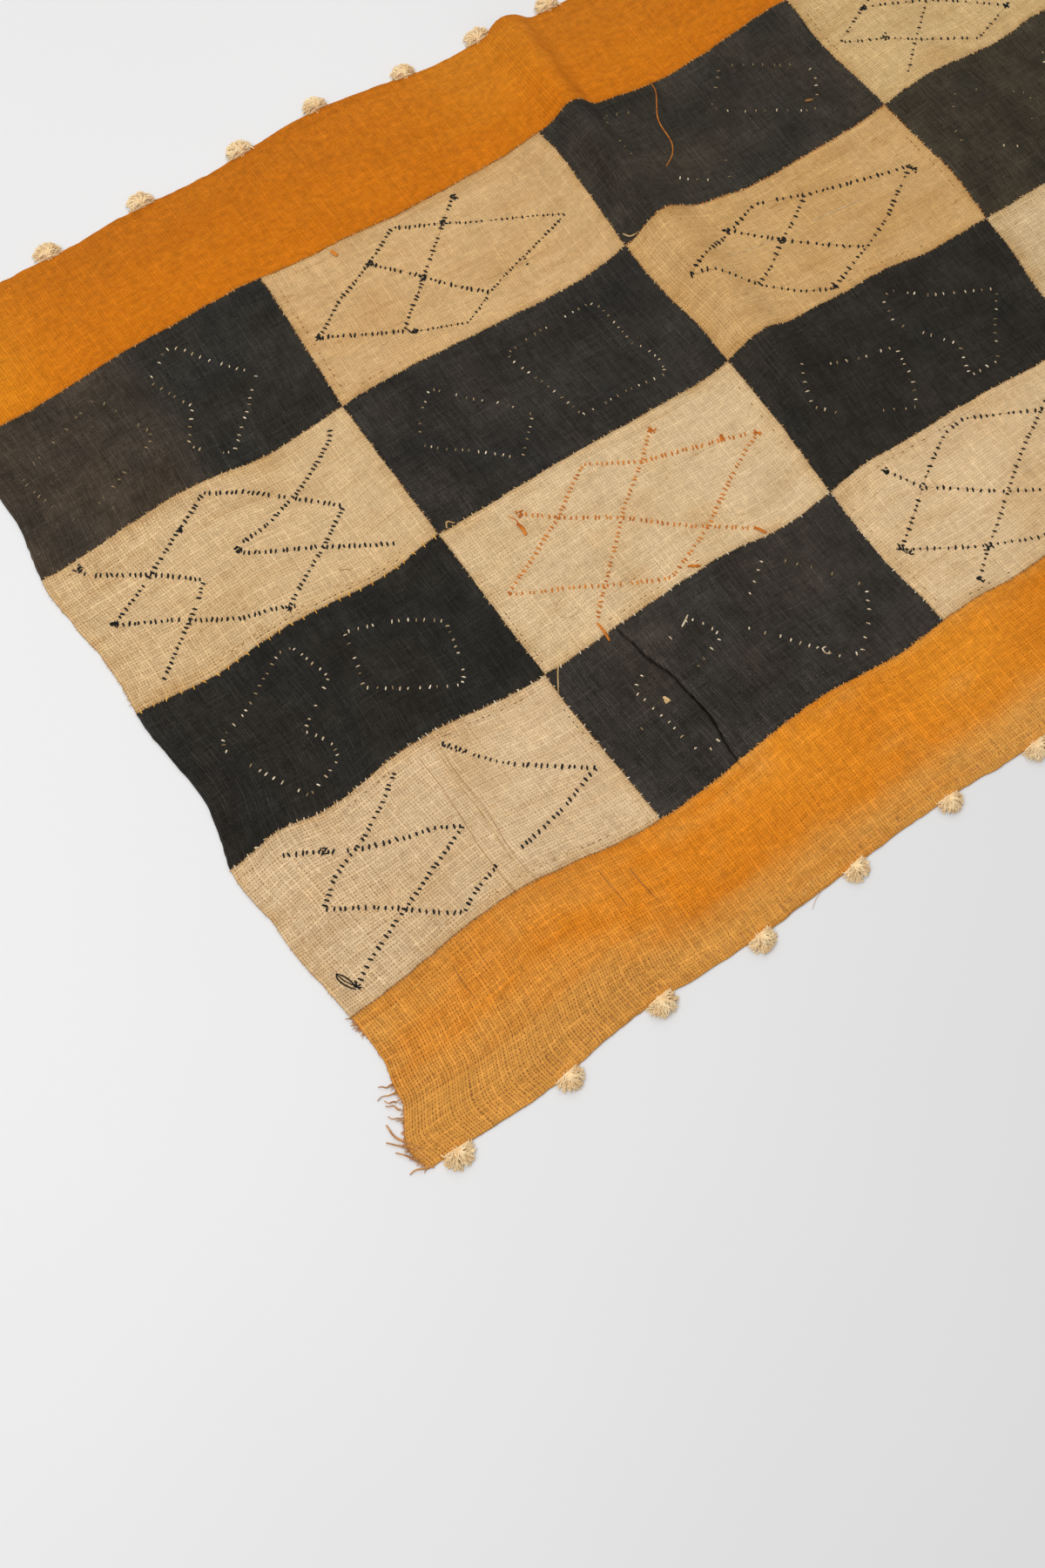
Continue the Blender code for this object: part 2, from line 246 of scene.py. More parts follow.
def readTable(pairs, places):    # the values of a table of (place, value) pairs, eased from each to the next
    marks, values = np.array(pairs, float).T
    index = np.clip(np.searchsorted(marks, places, side="right") - 1, 0, len(marks) - 2)
    share = np.clip((places - marks[index]) / (marks[index + 1] - marks[index]), 0, 1)
    ease = (1 - np.cos(np.pi * share)) / 2
    return values[index] * (1 - ease) + values[index + 1] * ease


def softNoise(x, y, size, seed):    # smooth random hills from 0 to 1, about a size apart
    hills = np.random.default_rng(seed).random((64, 64))
    column, row = np.floor(x / size).astype(int), np.floor(y / size).astype(int)
    u, v = x / size - column, y / size - row
    u, v = u * u * (3 - 2 * u), v * v * (3 - 2 * v)
    low = hills[column % 64, row % 64] * (1 - u) + hills[(column + 1) % 64, row % 64] * u
    high = hills[column % 64, (row + 1) % 64] * (1 - u) + hills[(column + 1) % 64, (row + 1) % 64] * u
    return low * (1 - v) + high * v


def seenFromAbove(along, across):    # where points of the even cloth lie on the floor
    item = np.arange(len(along))
    column = np.clip(np.floor(along / cloth["patchLength"]).astype(int), 0, cloth["columns"] - 1)
    share = along / cloth["patchLength"] - column
    strays = np.array([readTable(line, across / mm) for line in crossLines]) * mm
    x = along - clothLength / 2 + (1 - share) * strays[column, item] + share * strays[column + 1, item]
    lines = np.array([y for y, table in longLines])
    row = np.clip(np.searchsorted(-lines, -across, side="right") - 1, 0, len(lines) - 2)
    share = (lines[row] - across) / (lines[row] - lines[row + 1])
    strays = np.array([readTable(table, along / mm) for y, table in longLines]) * mm
    y = across + (1 - share) * strays[row, item] + share * strays[row + 1, item]
    for size, part, seed in ((11 * mm, 0.6, 11), (4 * mm, 0.4, 12)):
        x = x + (softNoise(along, across, size, seed) - 0.5) * cloth["tremble"] * 2 * part
        y = y + (softNoise(along, across, size, seed + 20) - 0.5) * cloth["tremble"] * 2 * part
    return x, y


def evenPlace(x, y):    # the places on the even cloth of points as they lie, found by stepping back
    along, across = x + clothLength / 2, y
    for _ in range(5):
        laidX, laidY = seenFromAbove(along, across)
        along, across = along + x - laidX, across + y - laidY
    return along, across


def foldRise(sections, x, y):
    across, crest, rise, left, right = np.array(sections, float).T
    here = y / mm
    offset = (x + clothLength / 2) / mm - readTable(list(zip(across, crest)), here)
    reach = np.where(offset < 0, readTable(list(zip(across, left)), here), readTable(list(zip(across, right)), here))
    wave = np.where(np.abs(offset) < reach, (1 + np.cos(np.pi * np.clip(offset / reach, -1, 1))) / 2, 0)
    return readTable(list(zip(across, rise)), here) * wave * np.where(here > across[0], 1, 0) * mm


def edgeDistance(along, across):    # to the nearest seam or outer edge of the even cloth
    column = (along / cloth["patchLength"]) % 1
    inPatchwork = np.abs(across) < patchworkEdge
    toCross = np.minimum(column, 1 - column) * cloth["patchLength"]
    toCross = np.where(inPatchwork, toCross, np.minimum(along, clothLength - along))
    row = ((across + patchworkEdge) / cloth["patchWidth"]) % 1
    toLong = np.minimum(row, 1 - row) * cloth["patchWidth"]
    toLong = np.where(inPatchwork, toLong, np.minimum(np.abs(across) - patchworkEdge, bandEdge - np.abs(across)))
    return np.maximum(np.minimum(toCross, toLong), 0)


def seamDistance(along, across):    # to the nearest seam of the even cloth, but not to its outer edges
    column = np.clip(np.rint(along / cloth["patchLength"]), 1, cloth["columns"] - 1)
    toCross = np.abs(along - column * cloth["patchLength"])
    row = np.clip(np.rint((across + patchworkEdge) / cloth["patchWidth"]), 0, cloth["rows"])
    toLong = np.abs(across + patchworkEdge - row * cloth["patchWidth"])
    return np.where(np.abs(across) < patchworkEdge, np.minimum(toCross, toLong), toLong)


def underside(along, across, x, y):    # how high the cloth's underside lies over the floor
    rise = foldRise(folds["ridge"], x, y) + foldRise(folds["pleat"], x, y)
    swell = 0.6 * softNoise(along, across, 52 * mm, 31) + 0.4 * softNoise(along, across, 19 * mm, 32)
    toEnd = np.minimum(np.minimum(along, clothLength - along), bandEdge - np.abs(across))
    swell = swell * cloth["swell"] * np.clip(toEnd / (25 * mm), 0.15, 1)
    gather = softNoise(along, across, 7 * mm, 33) * np.exp(-edgeDistance(along, across) / (9 * mm))
    rise = rise + swell + gather * cloth["pucker"]
    for (a0, c0), (a1, c1), depth, width in creases:
        run = np.array((a1 - a0, c1 - c0), float) * mm
        length = np.hypot(*run)
        fromStart = np.stack((along - a0 * mm, across - c0 * mm))
        share = np.clip((fromStart[0] * run[0] + fromStart[1] * run[1]) / length**2, 0, 1)
        off = np.hypot(fromStart[0] - share * run[0], fromStart[1] - share * run[1]) / (width * mm)
        fade = np.sin(np.pi * np.clip(share, 0.02, 0.98)) ** 0.5
        rise = rise - depth * mm * fade * np.exp(-off**2)
    return np.maximum(rise, 0)


def wovenThickness(toEdge):    # doubled where an edge is turned under
    turned = np.clip((cloth["turnedIn"] - toEdge) / (1 * mm), 0, 1)
    return cloth["thick"] + cloth["turnedThick"] * turned


def fromPleat(x, y):    # how far to the right of the pleat's crest in mm, and how much pleat there is, 0 to 1
    across, crest, rise = np.array(folds["pleat"], float).T[:3]
    offset = (x + clothLength / 2) / mm - readTable(list(zip(across, crest)), y / mm)
    return offset, readTable(list(zip(across, rise / rise.max())), y / mm)


def layCloth(along, across, lift):    # points of the even cloth as they lie, a lift above the underside
    along, across = np.asarray(along, float), np.asarray(across, float)
    x, y = seenFromAbove(along, across)
    step = 0.5 * mm
    low = underside(along, across, x, y)
    slopeX = (foldRise(folds["ridge"], x + step, y) - foldRise(folds["ridge"], x - step, y)) / (2 * step)
    offset, amount = fromPleat(x, y)    # the pleat's crest leans over the cloth on its left
    x = x - cloth["overhang"] * amount * np.exp(-((offset - 0.6) / 2.2) ** 2) * (offset > -0.8)
    return np.stack((x, y, low + lift * np.sqrt(1 + slopeX**2)), axis=1)


def clothFrame(along, across, lift):    # points on the cloth with its directions there: along, across and up
    step = 1.0 * mm
    along, across = np.asarray(along, float), np.asarray(across, float)
    centre = layCloth(along, across, lift)
    sideways = layCloth(along + step, across, lift) - centre
    upwards = layCloth(along, across + step, lift) - centre
    sideways /= np.linalg.norm(sideways, axis=1)[:, None]
    out = np.cross(sideways, upwards)
    out /= np.linalg.norm(out, axis=1)[:, None]
    return centre, sideways, np.cross(out, sideways), out


# Threads are strips of palm leaf, split by hand, so no two have one width or tone. Real threads lie about 1.5 mm
# apart; they are drawn about 2 mm apart, since finer ones would not show in a picture of the whole cloth.
weaves = {
    "undyedRaffia": {        # dry leaf strips: pale, matt, a little glossy on the ribs, with pinholes between them
        "pitch": 2.1, "warpProud": 0.66, "weftProud": 0.66, "thread": (0.83, 1.14), "gap": (0.44, 0.31, 0.20),
        "gapWidth": 0.40, "streak": 0.06, "cloud": (0.93, 1.05), "rough": (0.66, 0.88), "bump": 0.8, "fleck": 0.6,
        "crumple": 1.5, "mottle": 0.11, "smudge": 0.55},
    "mudBlackRaffia": {      # dyed in river mud: deep soft black, with grey and brown rubbed into its fine ribs
        "pitch": 1.9, "warpProud": 0.80, "weftProud": 0.56, "thread": (0.66, 1.50), "gap": (0.40, 0.38, 0.36),
        "gapWidth": 0.42, "streak": 0.26, "cloud": (0.76, 1.30), "rough": (0.74, 0.92), "bump": 0.8, "fleck": 0.0,
        "crumple": 1.1, "mottle": 0.16, "smudge": 0.0},
    "ochreRaffia": {         # dyed with ground wood and ochre: strong orange, its warp strips standing up as ribs
        "pitch": 2.1, "warpProud": 0.80, "weftProud": 0.57, "thread": (0.83, 1.15), "gap": (0.30, 0.26, 0.40),
        "gapWidth": 0.42, "streak": 0.06, "cloud": (0.95, 1.05), "rough": (0.64, 0.86), "bump": 0.8, "fleck": 0.45,
        "crumple": 1.3, "mottle": 0.16, "smudge": 0.30},
}
patterns = {    # mm along the cloth and across it, the same on every weave
    "wander": 66.7,               # over this far the threads stray by up to "stray"
    "stray": 1.1,
    "uneven": 1.5,                # how far thick threads push the next ones aside, in threads
    "cloud": 38.5,                # broad clouds of wear
    "streak": (1.43, 13.3),       # fine streaks along the ribs
    "dent": (6.67, 4.26),         # the crumple, painted darker in its dents as shade and lighter on its rises
    "fleck": (1.79, 5.88),        # brown flecks, as long as a strip shows between two crossings or a little more
    "smudge": (13.3, 4.35),
    "relief": 0.45,               # how deep the weave is
}
noiseLow, noiseHigh = 0.3, 0.7    # most of a noise's values lie between these


def weaveMaterial(name, look):
    material, tree, shader = newMaterial(name)
    uv = addNode(tree, "ShaderNodeUVMap", uv_map="weave")    # in metres on the even cloth
    dye = addNode(tree, "ShaderNodeAttribute", attribute_name="dye")    # colour, and how open the weave is
    slack = addNode(tree, "ShaderNodeTexNoise", {"Vector": uv, "Scale": scaleOf(patterns["wander"])[0],
                                                "Detail": 1.0})
    bent = addNode(tree, "ShaderNodeVectorMath", {0: slack.outputs["Color"], 1: (patterns["stray"] * mm,) * 3,
                                                  2: uv}, operation="MULTIPLY_ADD")
    even = addNode(tree, "ShaderNodeVectorMath", {0: bent, "Scale": 1 / (look["pitch"] * mm)}, operation="SCALE")
    even = addNode(tree, "ShaderNodeSeparateXYZ", {0: even})
    threads = []
    for axis, other in ((0, 1), (1, 0)):    # thick and thin threads, each the same along its whole length
        place = addNode(tree, "ShaderNodeMath", {0: even.outputs[axis], 1: 0.5}, operation="MULTIPLY")
        run = addNode(tree, "ShaderNodeMath", {0: even.outputs[other], 1: 0.015}, operation="MULTIPLY")
        line = addNode(tree, "ShaderNodeCombineXYZ", {0: place, 1: run, 2: 20.0 * axis})
        uneven = addNode(tree, "ShaderNodeTexNoise", {"Vector": line, "Scale": 1.0, "Detail": 1.0})
        threads.append(addNode(tree, "ShaderNodeMath", {0: uneven, 1: patterns["uneven"],
                                                        2: even.outputs[axis]}, operation="MULTIPLY_ADD"))
    threads = addNode(tree, "ShaderNodeCombineXYZ", {0: threads[0], 1: threads[1]})
    cell = addNode(tree, "ShaderNodeVectorMath", {0: threads}, operation="FLOOR")
    at = addNode(tree, "ShaderNodeSeparateXYZ", {0: threads})
    number = addNode(tree, "ShaderNodeSeparateXYZ", {0: cell})
    heights, tones = [], []
    for axis, other, proud, sign in ((0, 1, look["warpProud"], 1), (1, 0, look["weftProud"], -1)):
        # one set of threads: round across, and up and down along itself where it passes over and under
        turn = addNode(tree, "ShaderNodeMath", {0: at.outputs[axis], 1: math.pi}, operation="MULTIPLY")
        sine = addNode(tree, "ShaderNodeMath", {0: turn}, operation="SINE")
        section = addNode(tree, "ShaderNodeMath", {0: sine}, operation="ABSOLUTE")
        passing = addNode(tree, "ShaderNodeMath", {0: at.outputs[other], 1: number.outputs[axis]}, operation="ADD")
        passing = addNode(tree, "ShaderNodeMath", {0: passing, 1: math.pi}, operation="MULTIPLY")
        passing = addNode(tree, "ShaderNodeMath", {0: passing}, operation="SINE")
        crown = addNode(tree, "ShaderNodeMath", {0: passing, 1: sign * (1 - proud), 2: proud},
                        operation="MULTIPLY_ADD")
        heights.append(addNode(tree, "ShaderNodeMath", {0: section, 1: crown}, operation="MULTIPLY"))
        # each thread has a tone of its own, which drifts along it
        along = addNode(tree, "ShaderNodeMath", {0: at.outputs[other], 1: 0.06}, operation="MULTIPLY")
        own = addNode(tree, "ShaderNodeMath", {0: number.outputs[axis], 1: 3.37}, operation="MULTIPLY")
        line = addNode(tree, "ShaderNodeCombineXYZ", {0: own, 1: along, 2: 40.0 * axis})
        tones.append(addNode(tree, "ShaderNodeTexNoise", {"Vector": line, "Scale": 1.0, "Detail": 2.0,
                                                         "Roughness": 0.6}))
    height = addNode(tree, "ShaderNodeMath", {0: heights[0], 1: heights[1]}, operation="MAXIMUM")
    onTop = addNode(tree, "ShaderNodeMath", {0: heights[0], 1: heights[1]}, operation="GREATER_THAN")
    tone = addNode(tree, "ShaderNodeMix", {0: onTop, 2: tones[1].outputs[0], 3: tones[0].outputs[0]})
    threadShade = addNode(tree, "ShaderNodeMapRange", {0: tone, 1: noiseLow, 2: noiseHigh, 3: look["thread"][0],
                                                       4: look["thread"][1]})
    coarse = addNode(tree, "ShaderNodeMapRange", {0: dye.outputs["Alpha"], 3: 0.45, 4: 1.0})
    threadShade = addNode(tree, "ShaderNodeMix", {0: coarse, 2: 1.0, 3: threadShade})
    cloud = addNode(tree, "ShaderNodeTexNoise", {"Vector": uv, "Scale": scaleOf(patterns["cloud"])[0],
                                                "Detail": 4.0, "Roughness": 0.6})
    combed = addNode(tree, "ShaderNodeMapping", {"Vector": uv, "Scale": (*scaleOf(*patterns["streak"]), 1.0)})
    streak = addNode(tree, "ShaderNodeTexNoise", {"Vector": combed, "Scale": 1.0, "Detail": 3.0, "Roughness": 0.7})
    drawn = addNode(tree, "ShaderNodeMapping", {"Vector": uv, "Scale": (*scaleOf(*patterns["dent"]), 1.0)})
    crumple = addNode(tree, "ShaderNodeTexNoise", {"Vector": drawn, "Scale": 1.0, "Detail": 3.0, "Roughness": 0.6})
    # the crumple's mottle is painted shade and light: darker in its dents, lighter on its rises
    shade = threadShade
    for pattern, (low, high) in ((cloud, look["cloud"]), (crumple, (1 - look["mottle"], 1 + look["mottle"])),
                                 (streak, (1 - look["streak"], 1 + look["streak"]))):
        factor = addNode(tree, "ShaderNodeMapRange", {0: pattern, 1: noiseLow, 2: noiseHigh, 3: low, 4: high})
        shade = addNode(tree, "ShaderNodeMath", {0: shade, 1: factor}, operation="MULTIPLY")
    body = addNode(tree, "ShaderNodeVectorMath", {0: dye.outputs["Color"], "Scale": shade}, operation="SCALE")
    # brown flecks of dry leaf, drawn out both ways
    flecks = []
    for sizes, shift in ((patterns["fleck"], 0.0), (patterns["fleck"][::-1], 9.0)):
        drawn = addNode(tree, "ShaderNodeMapping", {"Vector": uv, "Scale": (*scaleOf(*sizes), 1.0),
                                                    "Location": (shift, shift, 0)})
        flecks.append(addNode(tree, "ShaderNodeTexNoise", {"Vector": drawn, "Scale": 1.0, "Detail": 3.0,
                                                          "Roughness": 0.65}))
    grain = addNode(tree, "ShaderNodeMix", {0: onTop, 2: flecks[1].outputs[0], 3: flecks[0].outputs[0]})
    fleck = addNode(tree, "ShaderNodeMapRange", {0: grain, 1: 0.53, 2: 0.70, 3: 0.0, 4: look["fleck"]})
    fleck = addNode(tree, "ShaderNodeMath", {0: fleck, 1: coarse}, operation="MULTIPLY")
    fleckTone = addNode(tree, "ShaderNodeVectorMath", {0: dye.outputs["Color"], 1: (0.62, 0.47, 0.32)},
                        operation="MULTIPLY")
    body = addNode(tree, "ShaderNodeMix", {0: fleck, 6: body, 7: fleckTone}, data_type="RGBA")
    # a few brown smudges, drawn out along the cloth
    drawn = addNode(tree, "ShaderNodeMapping", {"Vector": uv, "Scale": (*scaleOf(*patterns["smudge"]), 1.0),
                                                "Location": (4, 4, 0)})
    smudge = addNode(tree, "ShaderNodeTexNoise", {"Vector": drawn, "Scale": 1.0, "Detail": 2.0})
    smudge = addNode(tree, "ShaderNodeMapRange", {0: smudge, 1: 0.66, 2: 0.76, 3: 0.0, 4: look["smudge"]})
    body = addNode(tree, "ShaderNodeMix", {0: smudge, 6: body.outputs[2], 7: fleckTone}, data_type="RGBA")
    # painted shade in the gaps between the threads, wider where the weave is open
    cellTone = addNode(tree, "ShaderNodeTexWhiteNoise", {"Vector": cell}, noise_dimensions="2D")
    opening = addNode(tree, "ShaderNodeMath", {0: cellTone.outputs[0], 1: dye.outputs["Alpha"]},
                      operation="MULTIPLY")
    opening = addNode(tree, "ShaderNodeMath", {0: opening, 1: 0.42, 2: look["gapWidth"]}, operation="MULTIPLY_ADD")
    gap = addNode(tree, "ShaderNodeMapRange", {0: height, 1: 0.12, 2: opening, 3: 1.0, 4: 0.0},
                  interpolation_type="SMOOTHSTEP")
    gap = addNode(tree, "ShaderNodeMath", {0: gap, 1: coarse}, operation="MULTIPLY")
    gapTone = addNode(tree, "ShaderNodeVectorMath", {0: dye.outputs["Color"], 1: look["gap"]}, operation="MULTIPLY")
    colour = addNode(tree, "ShaderNodeMix", {0: gap, 6: body.outputs[2], 7: gapTone}, data_type="RGBA")
    tree.links.new(colour.outputs[2], shader.inputs["Base Color"])
    rough = addNode(tree, "ShaderNodeMapRange", {0: tone, 1: noiseLow, 2: noiseHigh, 3: look["rough"][1],
                                                 4: look["rough"][0]})
    tree.links.new(rough.outputs[0], shader.inputs["Roughness"])
    relief = addNode(tree, "ShaderNodeMath", {0: streak, 1: 0.5, 2: height}, operation="MULTIPLY_ADD")
    relief = addNode(tree, "ShaderNodeMath", {0: crumple, 1: look["crumple"], 2: relief}, operation="MULTIPLY_ADD")
    bump = addNode(tree, "ShaderNodeBump", {"Height": relief, "Strength": look["bump"],
                                            "Distance": patterns["relief"] * mm})
    tree.links.new(bump.outputs[0], shader.inputs["Normal"])
    shader.inputs["IOR"].default_value = 1.45
    shader.inputs["Specular IOR Level"].default_value = 0.10
    return material


weaveMaterials = {name: weaveMaterial(name, look) for name, look in weaves.items()}


# Sewing raffia: one strip, rolled between the fingers. It is a shade lighter where the strip twists.
sewingRaffia = {    # material, dark and light tone, roughness, slot
    "black": ("blackSewingRaffia", "07090A", "1D2021", 0.7, "black_raffia"),
    "cream": ("creamSewingRaffia", "A5865A", "F8E9CC", 0.7, "pompom_raffia"),
    "rust": ("rustSewingRaffia", "A9530F", "E08A30", 0.7, "ochre_raffia"),
    "yellow": ("yellowSewingRaffia", "CE8F2C", "EFBF62", 0.7, "ochre_raffia"),
    "tan": ("tanSewingRaffia", "7A4C24", "A87A46", 0.7, "ochre_raffia"),
    "dull": ("rubbedCreamRaffia", "5A4A36", "A48C66", 0.7, "pompom_raffia"),
    "ochre": ("ochreRaffiaFibre", "9E6A38", "D49A5E", 0.7, "ochre_raffia"),
    "natural": ("undyedRaffiaFibre", "A88250", "DDBE8A", 0.7, "natural_raffia"),
    "pompom": ("combedPompomRaffia", "E8C592", "FCE6BB", 0.85, "pompom_raffia"),
}


def threadMaterial(name, low, high, rough):
    material, tree, shader = newMaterial(name)
    spot = addNode(tree, "ShaderNodeTexCoord")
    strandScale, twistScale = scaleOf(1.11, 6.25)    # mm between the fibres of a strip, and between its twists
    strand = addNode(tree, "ShaderNodeTexNoise", {"Vector": spot.outputs["Object"], "Scale": strandScale,
                                                  "Detail": 2.0})
    twist = addNode(tree, "ShaderNodeTexNoise", {"Vector": spot.outputs["Object"], "Scale": twistScale,
                                                 "Detail": 1.0})
    both = addNode(tree, "ShaderNodeMath", {0: strand, 1: twist}, operation="ADD")
    share = addNode(tree, "ShaderNodeMapRange", {0: both, 1: 0.75, 2: 1.25})
    colour = addNode(tree, "ShaderNodeMix", {0: share, 6: toLinear(low), 7: toLinear(high)}, data_type="RGBA")
    bump = addNode(tree, "ShaderNodeBump", {"Height": strand, "Strength": 0.4, "Distance": 0.2 * mm})
    tree.links.new(colour.outputs[2], shader.inputs["Base Color"])
    tree.links.new(bump.outputs[0], shader.inputs["Normal"])
    shader.inputs["Roughness"].default_value = rough
    shader.inputs["Specular IOR Level"].default_value = 0.2
    return material


threadMaterials = {thread: threadMaterial(*look[:4]) for thread, look in sewingRaffia.items()}


def rideAs(obj):
    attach(obj, "root")
    return obj


print("materials are made")

# Patches and bands: thin sheets on the solids' folds.

patchTones = {    # each patch was dyed and has faded by itself
    "c1_r1": "3C352D", "c2_r1": "CFAB79", "c3_r1": "33302A", "c4_r1": "D1B27F", "c5_r1": "302D29",
    "c1_r2": "D4B68A", "c2_r2": "2D2B28", "c3_r2": "CDA66F", "c4_r2": "39342A", "c5_r2": "D9B686",
    "c1_r3": "252421", "c2_r3": "D9BD93", "c3_r3": "292723", "c4_r3": "D3B98E", "c5_r3": "2B2926",
    "c1_r4": "D9BC94", "c2_r4": "33302C", "c3_r4": "DEC095", "c4_r4": "2E2B27", "c5_r4": "DDBB8B",
}
bandTones = {    # the strong ochre, and what it fades to
    "upper": ("CB730D", "C06E13"),
    "lower": ("DF861D", "D99946"),
}
paleSpots = {    # rubbed places: even mm along and across, size in mm, amount
    "upper": ((30, 335, 50, 0.9), (38, 268, 38, 0.8), (495, 338, 55, 0.8), (610, 330, 60, 0.35)),
    "lower": ((352, -264, 42, 0.55), (490, -262, 55, 0.75)),
}
openWeave = {    # how far the threads of a patch lie apart, 0 to 1
    "c1_r1": 0.45, "c1_r2": 0.85, "c1_r3": 0.55, "c1_r4": 1.0, "c2_r1": 0.35, "c2_r2": 0.40, "c2_r3": 0.55,
    "c2_r4": 0.65, "c3_r2": 0.45, "c3_r4": 0.5,
}


def gridLines(start, end, fine=None):    # where a sheet's mesh has lines: close at its edges, even between them
    steps = [line * mm for line in cloth["edgeLines"]]
    stops = [start + steps[-1]] + ([fine[0], fine[1]] if fine else []) + [end - steps[-1]]
    inner = []
    for low, high in zip(stops, stops[1:]):
        cell = cloth["fineCell"] if fine and low == fine[0] else cloth["cell"]
        inner += list(np.linspace(low, high, max(1, round((high - low) / cell)) + 1))[:-1]
    return np.array([start + s for s in steps[:-1]] + inner + [end - s for s in reversed(steps)])


def addSheet(name, alongs, acrosses):    # a flat grid, thickened, then laid on the floor as the cloth lies
    deselect()
    bpy.ops.mesh.primitive_grid_add(x_subdivisions=len(alongs) - 1, y_subdivisions=len(acrosses) - 1, size=1)
    sheet = bpy.context.object
    sheet.name = sheet.data.name = name
    bpy.ops.object.mode_set(mode="EDIT")
    bpy.ops.mesh.select_all(action="SELECT")
    bpy.ops.mesh.extrude_region_move(TRANSFORM_OT_translate={"value": (0, 0, 1)})
    bpy.ops.mesh.select_all(action="SELECT")
    bpy.ops.mesh.normals_make_consistent(inside=False)
    bpy.ops.object.mode_set(mode="OBJECT")
    mesh = sheet.data
    co = np.empty(len(mesh.vertices) * 3)
    mesh.vertices.foreach_get("co", co)
    co = co.reshape(-1, 3)
    along = alongs[np.rint((co[:, 0] + 0.5) * (len(alongs) - 1)).astype(int)]
    across = acrosses[np.rint((co[:, 1] + 0.5) * (len(acrosses) - 1)).astype(int)]
    toEdge = np.minimum(np.minimum(along - alongs[0], alongs[-1] - along),
                        np.minimum(across - acrosses[0], acrosses[-1] - across))
    rounding = np.where(seamDistance(along, across) < 3 * mm, readTable(cloth["seamRound"], toEdge / mm),
                        readTable(cloth["edgeRound"], toEdge / mm))
    thickness = wovenThickness(toEdge) * rounding
    points = layCloth(along, across, np.where(co[:, 2] > 0.5, thickness, 0))
    mesh.vertices.foreach_set("co", points.ravel())
    uv = mesh.uv_layers[0] if mesh.uv_layers else mesh.uv_layers.new()
    uv.name = "weave"
    corners = np.empty(len(mesh.loops), int)
    mesh.loops.foreach_get("vertex_index", corners)
    uv.data.foreach_set("uv", np.stack((along[corners], across[corners]), axis=1).ravel())
    mesh.update()
    bpy.ops.object.shade_smooth_by_angle(angle=math.radians(60))
    return sheet, along, across, toEdge


def dyeSheet(sheet, colours, openness):
    layer = sheet.data.color_attributes.new(name="dye", type="FLOAT_COLOR", domain="POINT")
    values = np.concatenate((colours, openness[:, None]), axis=1)
    layer.data.foreach_set("color", values.ravel())


def shadeOfFolds(along, across, seamShade):    # painted shade in the seams, painted shadow at the foot of the pleat, and a painted highlight on its crest
    # painted shade: each seam darkened where its groove lies in shadow
    shade = 1 - seamShade * np.exp(-(seamDistance(along, across) / (1.1 * mm)) ** 2)
    x, y = seenFromAbove(along, across)
    offset, amount = fromPleat(x, y)
    near = (np.abs(offset) < 8) & (y < -110 * mm)
    # painted shadow where the pleat's crest leans over the cloth on its left
    shade = shade * np.where(near & (offset > -2.6) & (offset < 0.2), 1 - 0.75 * amount, 1)
    # painted highlight on the pleat's crest, fading to its right
    return shade * np.where(near & (offset >= 0.2), 1 + 0.35 * amount * np.exp(-np.maximum(offset, 0) / 3), 1)


def finishSheet(sheet, node, material):
    sheet.data.materials.clear()
    sheet.data.materials.append(weaveMaterials[material])
    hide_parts(node)
    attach(sheet, "root")


for column in range(1, cloth["columns"] + 1):
    for row in range(1, cloth["rows"] + 1):
        key = f"c{column}_r{row}"
        start = (column - 1) * cloth["patchLength"]
        top = patchworkEdge - (row - 1) * cloth["patchWidth"]
        over = cloth["overlap"]
        pleated = (302 * mm, 330 * mm) if key == "c2_r4" else None
        alongs = gridLines(start - over, start + cloth["patchLength"] + over, pleated)
        acrosses = gridLines(top - cloth["patchWidth"] - over, top + over)
        sheet, along, across, toEdge = addSheet(f"patchCloth_{key}", alongs, acrosses)
        black = (column + row) % 2 == 0
        base = np.array(toLinear(patchTones[key])[:3])
        cloud = softNoise(along, across, 34 * mm, 40 + column * 5 + row)
        worn = np.clip(1 - toEdge / (11 * mm), 0, 1) * softNoise(along, across, 15 * mm, 51)
        local = np.clip((along - start) / cloth["patchLength"], 0, 1)
        slub = softNoise(along / 7, across, 4.5 * mm, 45 + column * 5 + row)    # runs of browner weft
        if black:    # browner and greyer clouds, dustier near the seams
            brown = np.array((0.30, 0.18, 0.08))
            fine = softNoise(along, across, 12 * mm, 70 + column * 5 + row)
            colours = base * (0.80 + brown * cloud[:, None] + 0.22 * fine[:, None] + 0.24 * worn[:, None])
            if key == "c1_r1":    # its right half took the mud better
                colours *= 1 - np.array((0.48, 0.37, 0.27)) * np.clip((local - 0.45) / 0.15, 0, 1)[:, None]
            openness = openWeave.get(key, 0.30) * (1.2 - 0.6 * local) + 0.45 * softNoise(along, across, 70 * mm, 52)
        else:    # handled edges are browner
            colours = base * (1 - worn[:, None] * np.array((0.10, 0.19, 0.34)))
            colours *= 1 - np.clip(cloud - 0.55, 0, 1)[:, None] * np.array((0.14, 0.24, 0.40))
            colours *= 1 - np.clip(slub - 0.5, 0, 1)[:, None] * np.array((0.20, 0.30, 0.42))
            openness = openWeave.get(key, 0.6) * (1.15 - 0.6 * local) + 0.35 * worn
        # painted shade in the seams and by the pleat, and a painted highlight on the pleat's crest
        colours *= shadeOfFolds(along, across, 0.18 if black else 0.26)[:, None]
        dyeSheet(sheet, colours, np.clip(openness, 0, 1))
        finishSheet(sheet, f"patch_{key}", "mudBlackRaffia" if black else "undyedRaffia")

